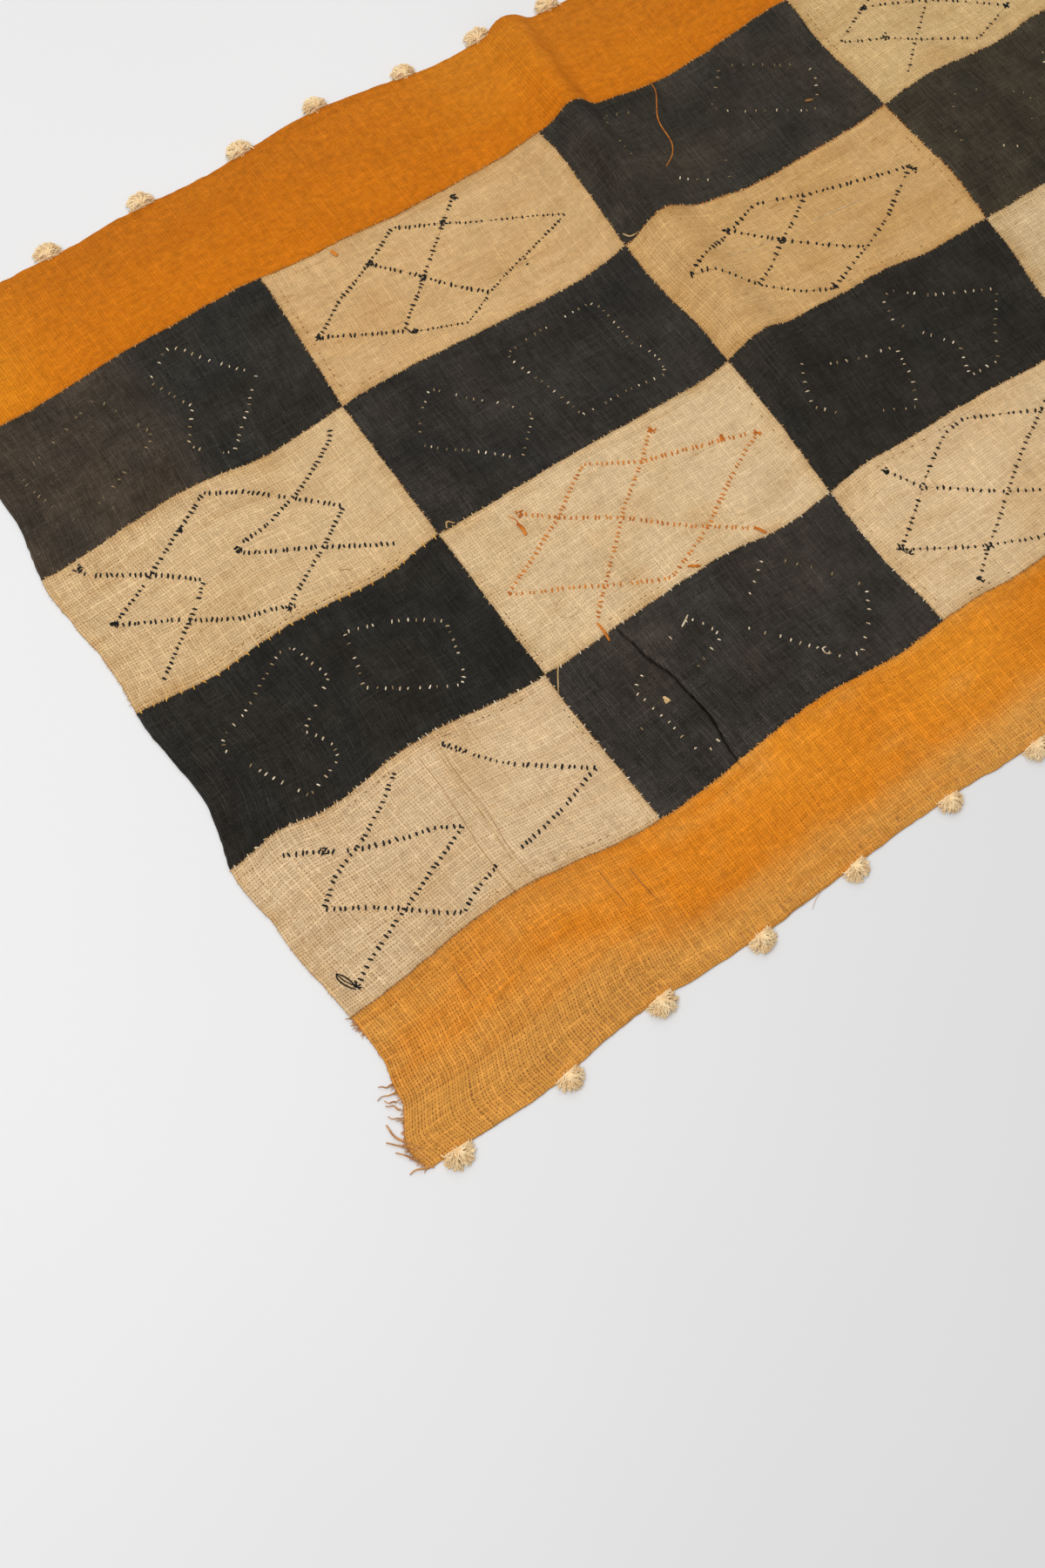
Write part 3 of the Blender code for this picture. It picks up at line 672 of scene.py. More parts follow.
for side, name in ((1, "upper"), (-1, "lower")):
    low, high = sorted((side * (patchworkEdge - cloth["overlap"]), side * bandEdge))
    sheet, along, across, toEdge = addSheet(f"bandCloth_{name}", gridLines(0, clothLength, (302 * mm, 330 * mm)),
                                            gridLines(low, high))
    inner, outer = (np.array(toLinear(tone)[:3]) for tone in bandTones[name])
    out = (np.abs(across) - patchworkEdge) / cloth["bandWidth"]
    cloud = softNoise(along, across, 32 * mm, 61) * 0.5 + softNoise(along, across, 10 * mm, 62) * 0.5
    # bars of stronger dye that run along the band
    bars = softNoise(along / 6, across, 13 * mm, 63) * 0.5 + softNoise(along / 9, across, 5 * mm, 64) * 0.5
    atEnd = np.clip(1 - along / (240 * mm), 0, 1)
    uneven = (cloud - 0.5) * 0.5 + (bars - 0.5) * 0.5
    if side < 0:    # strongest along its middle, and rubbed all over by its left end
        rim = np.clip((out - 0.42 - 0.14 * np.clip((along / mm - 190) / 130, 0, 1)) / 0.38, 0, 1)
        atSeam = np.clip(1 - out / 0.28, 0, 1)
        faded = np.clip(rim * rim * (3 - 2 * rim) + 0.22 * atSeam + 0.62 * atEnd + uneven, 0, 1)
        rough = np.exp(-((out - 0.84) / 0.09) ** 2) * np.exp(-((along / mm - 130) / 75) ** 4)
        openness = 0.50 + 0.45 * atEnd + 0.25 * out + 0.5 * rough
    else:
        faded = np.clip(out * 1.1 + uneven, 0, 1) ** 1.2
        openness = 0.10 + 0.45 * atEnd**2
    colours = inner * (1 - faded[:, None]) + outer * faded[:, None]
    colours = colours * (1 - 0.16 * (1 - bars[:, None]) * np.array((1, 1.4, 1.8)) + 0.04)
    if side < 0:    # greyer where it is rubbed, near the second and third pompoms
        colours = colours * (1 - 0.06 * rough[:, None] * np.array((1, 0.9, 0.3)))
    for a, c, size, amount in paleSpots[name]:
        near = amount * np.exp(-((along / mm - a) ** 2 + (across / mm - c) ** 2) / size**2)
        colours = colours * (1 + near[:, None] * np.array((0.17, 0.38, 1.0)))
    colours = colours * (1 - 0.07 * np.clip(1 - toEdge / (6 * mm), 0, 1)[:, None])
    # painted shade in the seams and by the pleat
    colours *= shadeOfFolds(along, across, 0.24)[:, None]
    dyeSheet(sheet, colours, np.clip(openness, 0, 1))
    finishSheet(sheet, f"band_{name}", "ochreRaffia")

# Sewing: stitches of one shape, laid along charted lines and seams.

sewing = {
    "sunk": 0.1 * mm,             # how far a stitch's ends start under the surface
    "ticks": {    # length, width, height and spacing in mm
        "black": (4.1, 1.65, 1.25, 3.9),
        "rust": (4.1, 1.4, 1.2, 4.0),
        "cream": (3.0, 1.15, 1.0, 6.0),
    },
    "wornAway": {"black": 0.02, "rust": 0.02, "cream": 0.08, "faded": 0.4},    # share of stitches that are gone
    "dotSize": 0.68,
    "stem": {"spacing": 4.6, "length": (3.2, 5.4), "width": 0.42, "height": 0.5},    # mm, thread between stitches
    "knotTurns": 7,               # crossed stitches, one over the other
}

# The stitched lines of each patch as they lie, in mm from its even left edge and down from its even upper edge.
# Rings are closed; "dots" are smaller stitches and "faded" ones are dull, with many gone. Each sewer kept a size of
# stitch and a spacing of their own.
charts = {
    "c1_r1": {"thread": "cream", "dulled": 0.15, "rings": (((137, 29), (158, 14), (166, 14), (180, 35), (205, 66),
              (185, 87), (158, 112), (148, 107), (134, 90), (153, 64), (143, 42)),), "faded": (((23, 48), (25, 65),
              (33, 88), (38, 101), (55, 97), (82, 85), (112, 74), (117, 65), (105, 40), (98, 20), (75, 29),
              (43, 41), (23, 48)),)},
    "c1_r2": {"thread": "black", "rings": (((20, 58), (50, 44), (95, 19), (122, 4), (145, 17), (170, 39), (200, 66),
              (172, 85), (127, 111), (95, 101), (60, 79)),), "lines": (((21, 8), (23, 15), (62, 40), (88, 62),
              (67, 81), (27, 111)), ((225, 9), (218, 18), (175, 41), (150, 49), (120, 52), (120, 58), (165, 82),
              (215, 111))), "knots": ((21, 8), (20, 57), (95, 19), (120, 55), (127, 112))},
    "c1_r3": {"thread": "cream", "dulled": 0.25, "rings": (((35, 52), (48, 80), (65, 111), (95, 100), (98, 90),
              (86, 70), (121, 46), (112, 14), (102, 13), (60, 37), (40, 43)), ((148, 24), (137, 66), (160, 82),
              (193, 101), (200, 95), (211, 56), (187, 39)))},
    "c1_r4": {"thread": "black", "spacing": 4.3, "lines": (((27, 11), (52, 24), (68, 34), (90, 42), (120, 51),
              (138, 61), (100, 76), (73, 87), (40, 101), (24, 110)), ((122, 4), (105, 16), (75, 33), (47, 44),
              (31, 57), (60, 75), (80, 91), (106, 110), (120, 102), (143, 95)), ((158, 4), (170, 20)), ((190, 43),
              (215, 62), (236, 77), (210, 85), (180, 92), (160, 95))), "dots": (((158, 5), (169, 20)), ((171, 22),
              (190, 43))), "knots": ((52, 24), (21, 111))},
    "c2_r1": {"thread": "black", "size": 0.98, "spacing": 3.9, "stem": True, "lines": (((142, 30), (107, 13),
              (75, 30), (40, 45), (9, 65), (35, 78), (66, 94)), ((75, 30), (100, 58), (118, 80), (138, 100)),
              ((162, 13), (142, 30), (103, 62), (85, 77), (66, 93))), "dots": (((68, 97), (110, 113), (138, 100),
              (178, 87), (226, 73), (180, 50), (142, 30)), ((178, 87), (175, 96))), "knots": ((9, 65), (76, 30),
              (162, 15), (142, 30), (103, 63), (70, 98))},
    "c2_r2": {"thread": "cream", "size": 0.88, "dulled": 0.55, "rings": (((53, 20), (70, 38), (88, 55), (105, 79),
              (78, 104), (52, 80), (22, 55), (37, 33)), ((118, 26), (141, 24), (195, 24), (200, 32), (202, 72),
              (208, 78), (211, 95), (208, 104), (176, 100), (135, 98), (130, 75), (120, 40)))},
    "c2_r3": {"thread": "rust", "rings": (((9, 63), (38, 50), (73, 33), (112, 8), (150, 30), (185, 40), (236, 56),
              (195, 76), (158, 98), (113, 116), (70, 95), (45, 81)),), "lines": (((50, 15), (75, 35), (113, 60),
              (150, 92), (187, 118)), ((170, 11), (150, 29), (112, 56), (70, 94), (50, 113))), "knots": ((51, 16),
              (171, 12), (210, 46), (235, 57))},
    "c2_r4": {"thread": "cream", "spacing": 8.4, "lines": (((56, 37), (40, 45), (43, 60), (46, 75), (47, 88),
              (51, 108), (62, 110)), ((80, 29), (104, 23), (112, 35), (116, 47), (98, 53)), ((133, 50), (152, 72),
              (165, 89), (178, 107), (190, 112), (205, 100), (218, 86), (226, 73)), ((141, 40), (158, 28),
              (177, 15))), "faded": (((185, 22), (203, 43), (216, 60), (224, 72)), ((25, 72), (35, 71)), ((84, 58),
              (98, 53)))},
    "c3_r1": {"thread": "cream", "spacing": 7.6, "dulled": 0.4, "lines": (((132, 53), (150, 69), (171, 81),
              (193, 95), (206, 98), (218, 78), (222, 70), (220, 59)), ((68, 91), (90, 108))), "faded": (((220, 58),
              (196, 44), (161, 24), (143, 42), (132, 53)), ((45, 75), (45, 50), (52, 14), (83, 26)), ((90, 108),
              (103, 115), (113, 97), (116, 86)))},
    "c3_r2": {"thread": "black", "size": 1.04, "spacing": 5.2, "stem": True, "rings": (((18, 50), (70, 31),
              (105, 20), (145, 35), (190, 47), (233, 57), (190, 83), (155, 98), (110, 114), (85, 100), (62, 80),
              (38, 58)),), "lines": (((72, 27), (90, 45), (103, 58), (125, 76), (156, 98)), ((145, 34), (103, 58),
              (80, 73), (62, 80))), "knots": ((71, 27), (103, 58), (111, 112), (233, 60))},
    "c3_r3": {"thread": "cream", "spacing": 7.6, "dulled": 0.3, "lines": (((45, 28), (37, 41), (29, 65), (43, 79)),
              ((62, 38), (90, 49), (118, 55), (112, 82), (100, 103))), "faded": (((66, 89), (86, 98), (100, 105)),),
              "rings": (((130, 38), (136, 18), (146, 14), (170, 35), (217, 58), (192, 85), (176, 107), (149, 106),
              (160, 80), (150, 67), (136, 47)),)},
    "c3_r4": {"thread": "black", "size": 0.92, "spacing": 5.2, "stem": True, "rings": (((15, 65), (60, 34),
              (102, 9), (122, 7), (170, 30), (235, 62), (165, 105), (108, 114), (60, 92)),), "lines": (((47, 5),
              (43, 10), (60, 35), (75, 45), (110, 71), (165, 105)), ((185, 28), (150, 47), (110, 72), (75, 95),
              (47, 115))), "knots": ((15, 64), (18, 69), (48, 115), (44, 10), (69, 99))},
    "c4_r1": {"thread": "black", "size": 0.84, "spacing": 5.6, "stem": True, "rings": (((10, 57), (48, 39),
              (105, 15), (235, 60), (152, 100), (110, 114), (65, 88), (44, 73)),), "lines": (((48, 39), (100, 62),
              (152, 100)), ((150, 20), (98, 61), (38, 110))), "knots": ((44, 73), (48, 40), (152, 100))},
    "c4_r2": {"thread": "cream", "size": 0.9, "spacing": 11, "faded": (((62, 18), (35, 45), (32, 64)), ((80, 95),
              (110, 55), (88, 38), (62, 18))), "lines": (((55, 79), (72, 91)),), "rings": (((140, 30), (205, 25),
              (215, 85), (150, 105)),)},
    "c4_r3": {"thread": "black", "size": 0.9, "spacing": 5.6, "rings": (((20, 60), (115, 10), (230, 60),
              (120, 115)),), "lines": (((60, 25), (115, 65), (160, 100)), ((175, 25), (115, 65), (60, 95))),
              "knots": ((20, 60), (115, 65), (160, 100))},
    "c4_r4": {"thread": "cream", "rings": (((35, 45), (95, 20), (115, 70), (55, 105)), ((140, 55), (185, 20),
              (225, 70), (175, 110)))},
    "c5_r1": {"thread": "cream", "rings": (((40, 30), (110, 25), (105, 90), (35, 100)), ((140, 60), (175, 20),
              (220, 60), (180, 105)))},
    "c5_r2": {"thread": "black", "size": 0.9, "spacing": 5.6, "rings": (((15, 60), (120, 10), (230, 65),
              (115, 110)),), "lines": (((70, 20), (115, 60), (170, 100)), ((165, 20), (115, 60), (65, 95))),
              "knots": ((15, 60), (115, 60), (170, 100))},
    "c5_r3": {"thread": "cream", "rings": (((30, 60), (85, 20), (125, 60), (75, 105)), ((145, 25), (215, 40),
              (200, 100), (150, 95)))},
    "c5_r4": {"thread": "black", "size": 0.9, "spacing": 5.6, "rings": (((20, 65), (125, 10), (235, 60),
              (120, 115)),), "lines": (((55, 20), (120, 65), (165, 105)), ((180, 25), (120, 65), (60, 100))),
              "knots": ((20, 65), (165, 105))},
}


def stitchShape():    # one stitch a unit long, arched, its ends dipping into the cloth
    deselect()
    bpy.ops.mesh.primitive_cylinder_add(vertices=5, radius=0.5, depth=1)
    obj = bpy.context.object
    bpy.ops.object.mode_set(mode="EDIT")
    bpy.ops.mesh.select_all(action="SELECT")
    bpy.ops.transform.rotate(value=math.pi / 2, orient_axis="Y", center_override=(0, 0, 0))
    for cut in (-0.32, 0.0, 0.32):
        bpy.ops.mesh.select_all(action="SELECT")
        bpy.ops.mesh.bisect(plane_co=(cut, 0, 0), plane_no=(1, 0, 0))
    bpy.ops.mesh.select_all(action="SELECT")
    bpy.ops.mesh.quads_convert_to_tris()
    bpy.ops.mesh.normals_make_consistent(inside=False)
    bpy.ops.object.mode_set(mode="OBJECT")
    points = np.array([vertex.co[:] for vertex in obj.data.vertices])
    faces = np.array([face.vertices[:] for face in obj.data.polygons])
    bow = 1 - (2 * points[:, 0]) ** 2
    narrow = 0.55 + 0.45 * bow
    points[:, 1] *= narrow
    points[:, 2] = points[:, 2] * narrow + 0.55 * bow - 0.25
    bpy.data.objects.remove(obj, do_unlink=True)
    return points, faces


stitch = stitchShape()


def joinedMesh(name, points, faces, material):
    mesh = bpy.data.meshes.new(name)
    mesh.vertices.add(len(points))
    mesh.vertices.foreach_set("co", points.ravel())
    mesh.loops.add(faces.size)
    mesh.loops.foreach_set("vertex_index", faces.ravel())
    mesh.polygons.add(len(faces))
    mesh.polygons.foreach_set("loop_start", np.arange(len(faces)) * 3)
    mesh.polygons.foreach_set("use_smooth", np.ones(len(faces), bool))
    mesh.update(calc_edges=True)
    mesh.materials.append(material)
    obj = bpy.data.objects.new(name, mesh)
    bpy.context.collection.objects.link(obj)
    return obj


def sewStitches(name, spots, thread):    # spots: even along and across, angle, length, width, height, extra lift
    spots = np.array(spots, float)
    surface = wovenThickness(edgeDistance(spots[:, 0], spots[:, 1]))
    centre, sideways, upwards, out = clothFrame(spots[:, 0], spots[:, 1], surface - sewing["sunk"] + spots[:, 6])
    angle = spots[:, 2:3]
    run = sideways * np.cos(angle) + upwards * np.sin(angle)
    side = np.cross(out, run)
    points, faces = stitch
    placed = (centre[:, None] + points[None, :, :1] * (run * spots[:, 3:4])[:, None]
              + points[None, :, 1:2] * (side * spots[:, 4:5])[:, None]
              + points[None, :, 2:] * (out * spots[:, 5:6])[:, None])
    joined = faces[None] + (np.arange(len(spots)) * len(points))[:, None, None]
    return rideAs(joinedMesh(name, placed.reshape(-1, 3), joined.reshape(-1, 3), threadMaterials[thread]))


def walk(points, spacing, draw, wander, closed=False):    # uneven steps along a line: place and direction of each
    points = [np.array(p, float) for p in points]
    if closed:
        points.append(points[0])
    steps = []
    for start, end in zip(points, points[1:]):
        run = end - start
        length = np.hypot(*run)
        count = max(1, round(length / spacing))
        across = np.array((-run[1], run[0])) / length
        bow = draw.uniform(-1, 1) * wander
        for k in range(count):
            share = (k + 0.5 + draw.uniform(-0.22, 0.22)) / count
            aside = bow * math.sin(math.pi * share) + draw.uniform(-0.4, 0.4) * wander
            place = start + run * share + across * aside
            steps.append((place, math.atan2(run[1], run[0])))
    return steps


draw = random.Random(20)
extras = {key: [] for key in charts}
for key, chart in charts.items():
    column, row = int(key[1]), int(key[4])
    left = (column - 1) * cloth["patchLength"]
    top = patchworkEdge - (row - 1) * cloth["patchWidth"]
    length, width, height, spacing = sewing["ticks"][chart["thread"]]
    spacing = chart.get("spacing", spacing)
    spots, fadedSpots, stems = [], [], []
    for kind in ("rings", "lines", "dots", "faded"):
        gone = sewing["wornAway"]["faded" if kind == "faded" else chart["thread"]]
        small = sewing["dotSize"] if kind == "dots" else chart.get("size", 1)
        for line in chart.get(kind, ()):
            for (x, y), heading in walk(line, spacing, draw, 0.8, kind == "rings"):
                if draw.random() < gone:
                    continue    # a stitch that has worn away
                size = small * (draw.uniform(0.62, 1.3) if "stem" in chart else draw.uniform(0.78, 1.2))
                spot = (left + x * mm, top - y * mm, -heading + math.pi / 2 + draw.gauss(0, 0.16), length * size * mm,
                        width * (0.7 + 0.3 * small) * draw.uniform(0.85, 1.15) * mm, height * size * mm, 0)
                dull = kind == "faded" or draw.random() < chart.get("dulled", 0)
                (fadedSpots if dull else spots).append(spot)
            if "stem" in chart:    # the thread shows between the stitches as a thin line
                stem = sewing["stem"]
                for (x, y), heading in walk(line, stem["spacing"], draw, 0.5, kind == "rings"):
                    stems.append((left + x * mm, top - y * mm, -heading, draw.uniform(*stem["length"]) * mm,
                                  stem["width"] * mm, stem["height"] * mm, -0.03 * mm))
    for x, y in chart.get("knots", ()):
        for _ in range(sewing["knotTurns"]):
            spots.append((left + (x + draw.gauss(0, 1.3)) * mm, top - (y + draw.gauss(0, 1.3)) * mm,
                          draw.uniform(0, 3.1), draw.uniform(2.2, 4.6) * mm, 1.2 * mm, 1.2 * mm,
                          draw.uniform(0, 0.3) * mm))
    for name, group, thread in (("embroidery", spots, chart["thread"]), ("rubbedEmbroidery", fadedSpots, "dull"),
                                ("stems", stems, "tan")):
        if group:
            group = np.array(group)
            group[:, 0], group[:, 1] = evenPlace(group[:, 0] - clothLength / 2, group[:, 1])
            extras[key].append(sewStitches(f"{name}_{key}", group, thread))
print("the patches are embroidered")

# Seams: each patch is sewn to the next, edge to edge. Thread, length, width and spacing in mm, and the share of
# stitches that are left out.
seams = {
    "plain": ("natural", 3.2, 0.8, 8.2, 0.25),
    "teeth": ("natural", 1.7, 0.7, 3.6, 0.68),
    "dark": ("black", 1.9, 0.75, 4.2, 0.4),
    "brown": ("tan", 1.9, 0.7, 3.4, 0.25),
    "rust": ("rust", 2.2, 0.6, 3.2, 0.2),
    "yellow": ("yellow", 4.2, 1.0, 9.4, 0.0),
    "cream": ("cream", 4.0, 0.95, 8.6, 0.06),
    "small cream": ("cream", 3.2, 0.9, 8.0, 0.10),
    "ochre": ("ochre", 3.2, 0.85, 8.4, 0.1),
    "ochre teeth": ("ochre", 1.9, 0.75, 3.2, 0.3),
}
plain = ("plain", "teeth", "dark", "brown")
ochre = ("ochre", "ochre teeth", "brown")
longSeams = {    # which sewing shows over each seam that runs along, from the upper band down, at each column
    0: (ochre, ochre, ochre, ochre, ochre),
    1: (plain, plain, ("rust",) + plain, plain, plain),
    2: (("yellow",) + plain[1:],) + (plain,) * 4,
    3: (("cream",) + plain, ("small cream",) + plain[1:]) + (plain,) * 3,
    4: (ochre, ("ochre", "ochre teeth", "dark"), ochre, ("ochre", "ochre teeth", "dark"), ochre),
}
crossSeams = {    # the same over each seam that runs across, from the left, at each row
    1: (plain,) * 3 + (("small cream", "teeth", "brown"),),
    2: (plain,) * 3 + (("small cream", "teeth", "dark"),),
    3: (plain, ("rust",) + plain, plain, plain),
    4: (plain,) * 4,
}
seamSpots = {}


def sewSeam(kind, start, end):
    thread, length, width, spacing, leftOut = seams[kind]
    heading = math.atan2(end[1] - start[1], end[0] - start[0])
    for (along, across), turn in walk((start, end), spacing * mm, draw, 0.3 * mm):
        if draw.random() < leftOut:
            continue
        seamSpots.setdefault(thread, []).append(
            (along, across, heading + math.pi / 2 + draw.gauss(0, 0.3), length * draw.uniform(0.75, 1.2) * mm,
             width * mm, 0.8 * mm, -0.05 * mm))


for line, columns in longSeams.items():
    across = patchworkEdge - line * cloth["patchWidth"]
    for column, kinds in enumerate(columns):
        for kind in kinds:
            sewSeam(kind, (column * cloth["patchLength"], across), ((column + 1) * cloth["patchLength"], across))
for line, rows in crossSeams.items():
    along = line * cloth["patchLength"]
    for row, kinds in enumerate(rows):
        top = patchworkEdge - row * cloth["patchWidth"]
        for kind in kinds:
            sewSeam(kind, (along, top), (along, top - cloth["patchWidth"]))

# Running stitches that hold the turned edges: short runs 7 mm inside a seam, as (column, row, side, from, to) in mm.
turnings = {
    "dash": (2.4, 0.6, 5.0),    # length, width, spacing
    "inside": 7 * mm,
    "tan": ((1, 2, "bottom", 60, 140), (1, 2, "bottom", 170, 235), (1, 2, "top", 10, 30), (1, 4, "top", 60, 125),
            (1, 4, "top", 165, 233), (1, 4, "bottom", 120, 215), (2, 1, "left", 10, 112), (2, 1, "bottom", 20, 70),
            (2, 3, "bottom", 60, 150), (2, 3, "right", 20, 80), (3, 2, "right", 30, 90), (3, 2, "bottom", 120, 190),
            (3, 4, "left", 20, 110), (3, 4, "top", 40, 120), (4, 1, "left", 20, 70), (4, 3, "bottom", 60, 150),
            (5, 2, "top", 90, 170), (5, 4, "right", 30, 100)),
    "black": ((1, 2, "bottom", 95, 215), (1, 4, "right", 25, 60), (2, 3, "left", 70, 118), (3, 4, "bottom", 30, 70)),
}
for thread in ("tan", "black"):
    for column, row, side, low, high in turnings[thread]:
        left = (column - 1) * cloth["patchLength"]
        top = patchworkEdge - (row - 1) * cloth["patchWidth"]
        inside = turnings["inside"] * (1 if thread == "tan" else 0.6)
        if side in ("top", "bottom"):
            across = top - inside if side == "top" else top - cloth["patchWidth"] + inside
            ends = ((left + low * mm, across), (left + high * mm, across))
        else:
            along = left + inside if side == "left" else left + cloth["patchLength"] - inside
            ends = ((along, top - low * mm), (along, top - high * mm))
        length, width, spacing = turnings["dash"]
        for (along, across), heading in walk(ends, spacing * mm, draw, 0.6 * mm):
            if draw.random() < 0.3:
                continue
            seamSpots.setdefault(thread, []).append(
                (along, across, heading + draw.gauss(0, 0.15), length * draw.uniform(0.7, 1.3) * mm, width * mm,
                 0.6 * mm, 0))

# The bands' hems are held by small stitches.
for side in (1, -1):
    across = side * (bandEdge - cloth["turnedIn"] + 0.6 * mm)
    for (along, place), heading in walk(((0, across), (clothLength, across)), 7.5 * mm, draw, 0.3 * mm):
        if draw.random() < 0.55:
            continue
        seamSpots["tan"].append((along, place, heading + draw.choice((0, math.pi / 2)) + draw.gauss(0, 0.2),
                                 draw.uniform(1.6, 2.8) * mm, 0.5 * mm, 0.55 * mm, 0))
# Cut ends of warp show along the lower hem, where it was turned up and caught down: short strands across it.
hemStrands = (("yellow", 250, 720, 3.4), ("ochre", 90, 1240, 4.6))    # thread, start, end and spacing in mm
for thread, low, high, spacing in hemStrands:
    across = -bandEdge + 6.5 * mm
    for (along, place), heading in walk(((low * mm, across), (high * mm, across)), spacing * mm, draw, 1.6 * mm):
        if draw.random() < 0.3:
            continue
        seamSpots[thread].append((along, place, heading + math.pi / 2 + draw.gauss(0, 0.16),
                                  draw.uniform(3.2, 7.0) * mm, 0.7 * mm, 0.55 * mm, 0))
for thread, spots in sorted(seamSpots.items()):
    sewStitches(f"seam_{thread}", spots, thread)
print("the seams are sewn")

# Loose threads, fibres and the frayed corner: thin round strips.


def drawThreads(name, lines, thickness, thread):    # lines of points in metres, each with a share of the thickness
    deselect()
    curve = bpy.data.curves.new(name, "CURVE")
    curve.dimensions = "3D"
    curve.bevel_depth = thickness / 2
    curve.bevel_resolution = 0
    curve.use_fill_caps = True
    for points in lines:
        spline = curve.splines.new("POLY")
        spline.points.add(len(points) - 1)
        for k, point in enumerate(points):
            spline.points[k].co = (*point[:3], 1)
            spline.points[k].radius = point[3] if len(point) > 3 else 1
    obj = bpy.data.objects.new(name, curve)
    bpy.context.collection.objects.link(obj)
    obj.select_set(True)
    bpy.context.view_layer.objects.active = obj
    bpy.ops.object.convert(target="MESH")
    obj = bpy.context.object
    obj.data.materials.clear()
    obj.data.materials.append(threadMaterials[thread])
    bpy.ops.object.shade_smooth_by_angle(angle=math.radians(80))
    return obj


def smoothLine(points, count):    # a soft curve through a few points
    points = np.array(points, float)
    padded = np.concatenate((points[:1] * 2 - points[1:2], points, points[-1:] * 2 - points[-2:-1]))
    line = []
    for k in range(len(points) - 1):
        a, b, c, d = padded[k:k + 4]
        for step in range(count):
            t = step / count
            line.append(0.5 * (2 * b + (c - a) * t + (2 * a - 5 * b + 4 * c - d) * t**2
                               + (3 * b - a - 3 * c + d) * t**3))
    return np.array(line + [points[-1]])


# Patch (row 5 is the lower band), thread, thickness in mm, and points like those of the charts.
looseThreads = {
    "rustTrail": ("c3_r1", "rust", 0.9, ((104, 7), (103, 17), (96, 28), (90, 37), (87, 46), (86, 56), (84, 65),
                                         (78, 73), (68, 79))),
    "stainDot": ("c3_r1", "tan", 2.4, ((199, 88), (205, 90))),
    "blot": ("c2_r1", "rust", 2.8, ((57, 6), (59, 12))),
    "creamTail": ("c2_r4", "natural", 0.9, ((7, 2), (3, 7), (-1, 13), (-5, 19))),
    "tuft": ("c3_r1", "natural", 1.4, ((2, 112), (5, 117), (10, 119))),
    "tuftTwo": ("c2_r2", "natural", 1.3, ((1, 121), (4, 117), (8, 121))),
    "leafRight": ("c1_r4", "black", 1.0, ((15, 97), (18, 101), (20, 106), (21, 112))),
    "leafLeft": ("c1_r4", "black", 1.0, ((15, 97), (14, 101), (16, 107), (20, 113))),
    "leafMiddle": ("c1_r4", "black", 0.8, ((15, 98), (17, 104), (21, 111))),
    "paleSlub": ("c3_r2", "cream", 0.5, ((56, 47), (76, 51), (97, 54))),
    "paleSlubTwo": ("c3_r2", "cream", 0.5, ((133, 56), (155, 59), (177, 61))),
    "creamCurl": ("c2_r4", "cream", 1.0, ((172, 94), (169, 94), (169, 98), (172, 100))),
    "thickCream": ("c2_r4", "cream", 1.3, ((96, 26), (100, 24), (105, 21))),
    "creamKnot": ("c2_r4", "cream", 1.4, ((66, 106), (67, 109))),
    "rustMark": ("c2_r3", "rust", 2.8, ((45, 21), (46, 26), (45, 32))),
    "rustMarkTail": ("c2_r3", "rust", 0.8, ((43, 12), (46, 18), (46, 24))),
    "rustTrailDown": ("c2_r3", "rust", 2.0, ((48, 115), (48, 123), (47, 131))),
    "rustDrop": ("c2_r3", "rust", 2.4, ((186, 117), (190, 125))),
    "rustDropTwo": ("c2_r3", "rust", 2.2, ((127, 115), (135, 120))),
    "tanRing": ("c2_r3", "natural", 0.4, ((38, 86), (32, 88), (29, 94), (33, 100), (41, 101), (45, 97))),
    "jointEdge": ("c1_r4", "natural", 0.7, ((153, 2), (152, 30), (153, 60), (152, 95), (153, 122))),
    "jointShade": ("c1_r4", "tan", 0.32, ((156, 4), (155, 30), (157, 60), (155, 90), (157, 120))),
    "jointLine": ("c1_r4", "tan", 0.35, ((140, 5), (141, 40), (139, 80), (141, 118))),
    "darnedLine": ("c1_r2", "tan", 0.5, ((170, 107), (175, 109), (177, 112))),
    "pulledThread": ("c1_r5", "tan", 0.6, ((213, 22), (214, 35), (216, 50))),
    "pulledThreadTwo": ("c1_r5", "tan", 0.5, ((195, 12), (196, 25), (197, 42))),
    "pulledThreadThree": ("c1_r5", "tan", 0.5, ((80, 10), (79, 22), (80, 36))),
    "bandStitch": ("c1_r5", "yellow", 0.7, ((10, 13), (18, 13))),
    "bandStitchTwo": ("c1_r5", "yellow", 0.7, ((31, 13), (38, 11))),
    "bandStitchThree": ("c1_r5", "yellow", 0.7, ((50, 9), (57, 8))),
    "bandStitchFour": ("c1_r5", "yellow", 0.7, ((120, 4), (127, 3))),
}
for name, (key, thread, thickness, points) in looseThreads.items():
    column, row = int(key[1]), int(key[4])
    line = smoothLine(points, 6) * mm
    along, across = evenPlace((column - 1) * cloth["patchLength"] + line[:, 0] - clothLength / 2,
                              patchworkEdge - (row - 1) * cloth["patchWidth"] - line[:, 1])
    placed = layCloth(along, across, wovenThickness(edgeDistance(along, across)) + 0.3 * thickness * mm)
    taper = 0.35 + 0.65 * np.sin(np.pi * np.linspace(0.08, 0.92, len(placed))) ** 0.5
    extras.setdefault(key, []).append(
        rideAs(drawThreads(name, [np.column_stack((placed, taper))], thickness * mm, thread)))

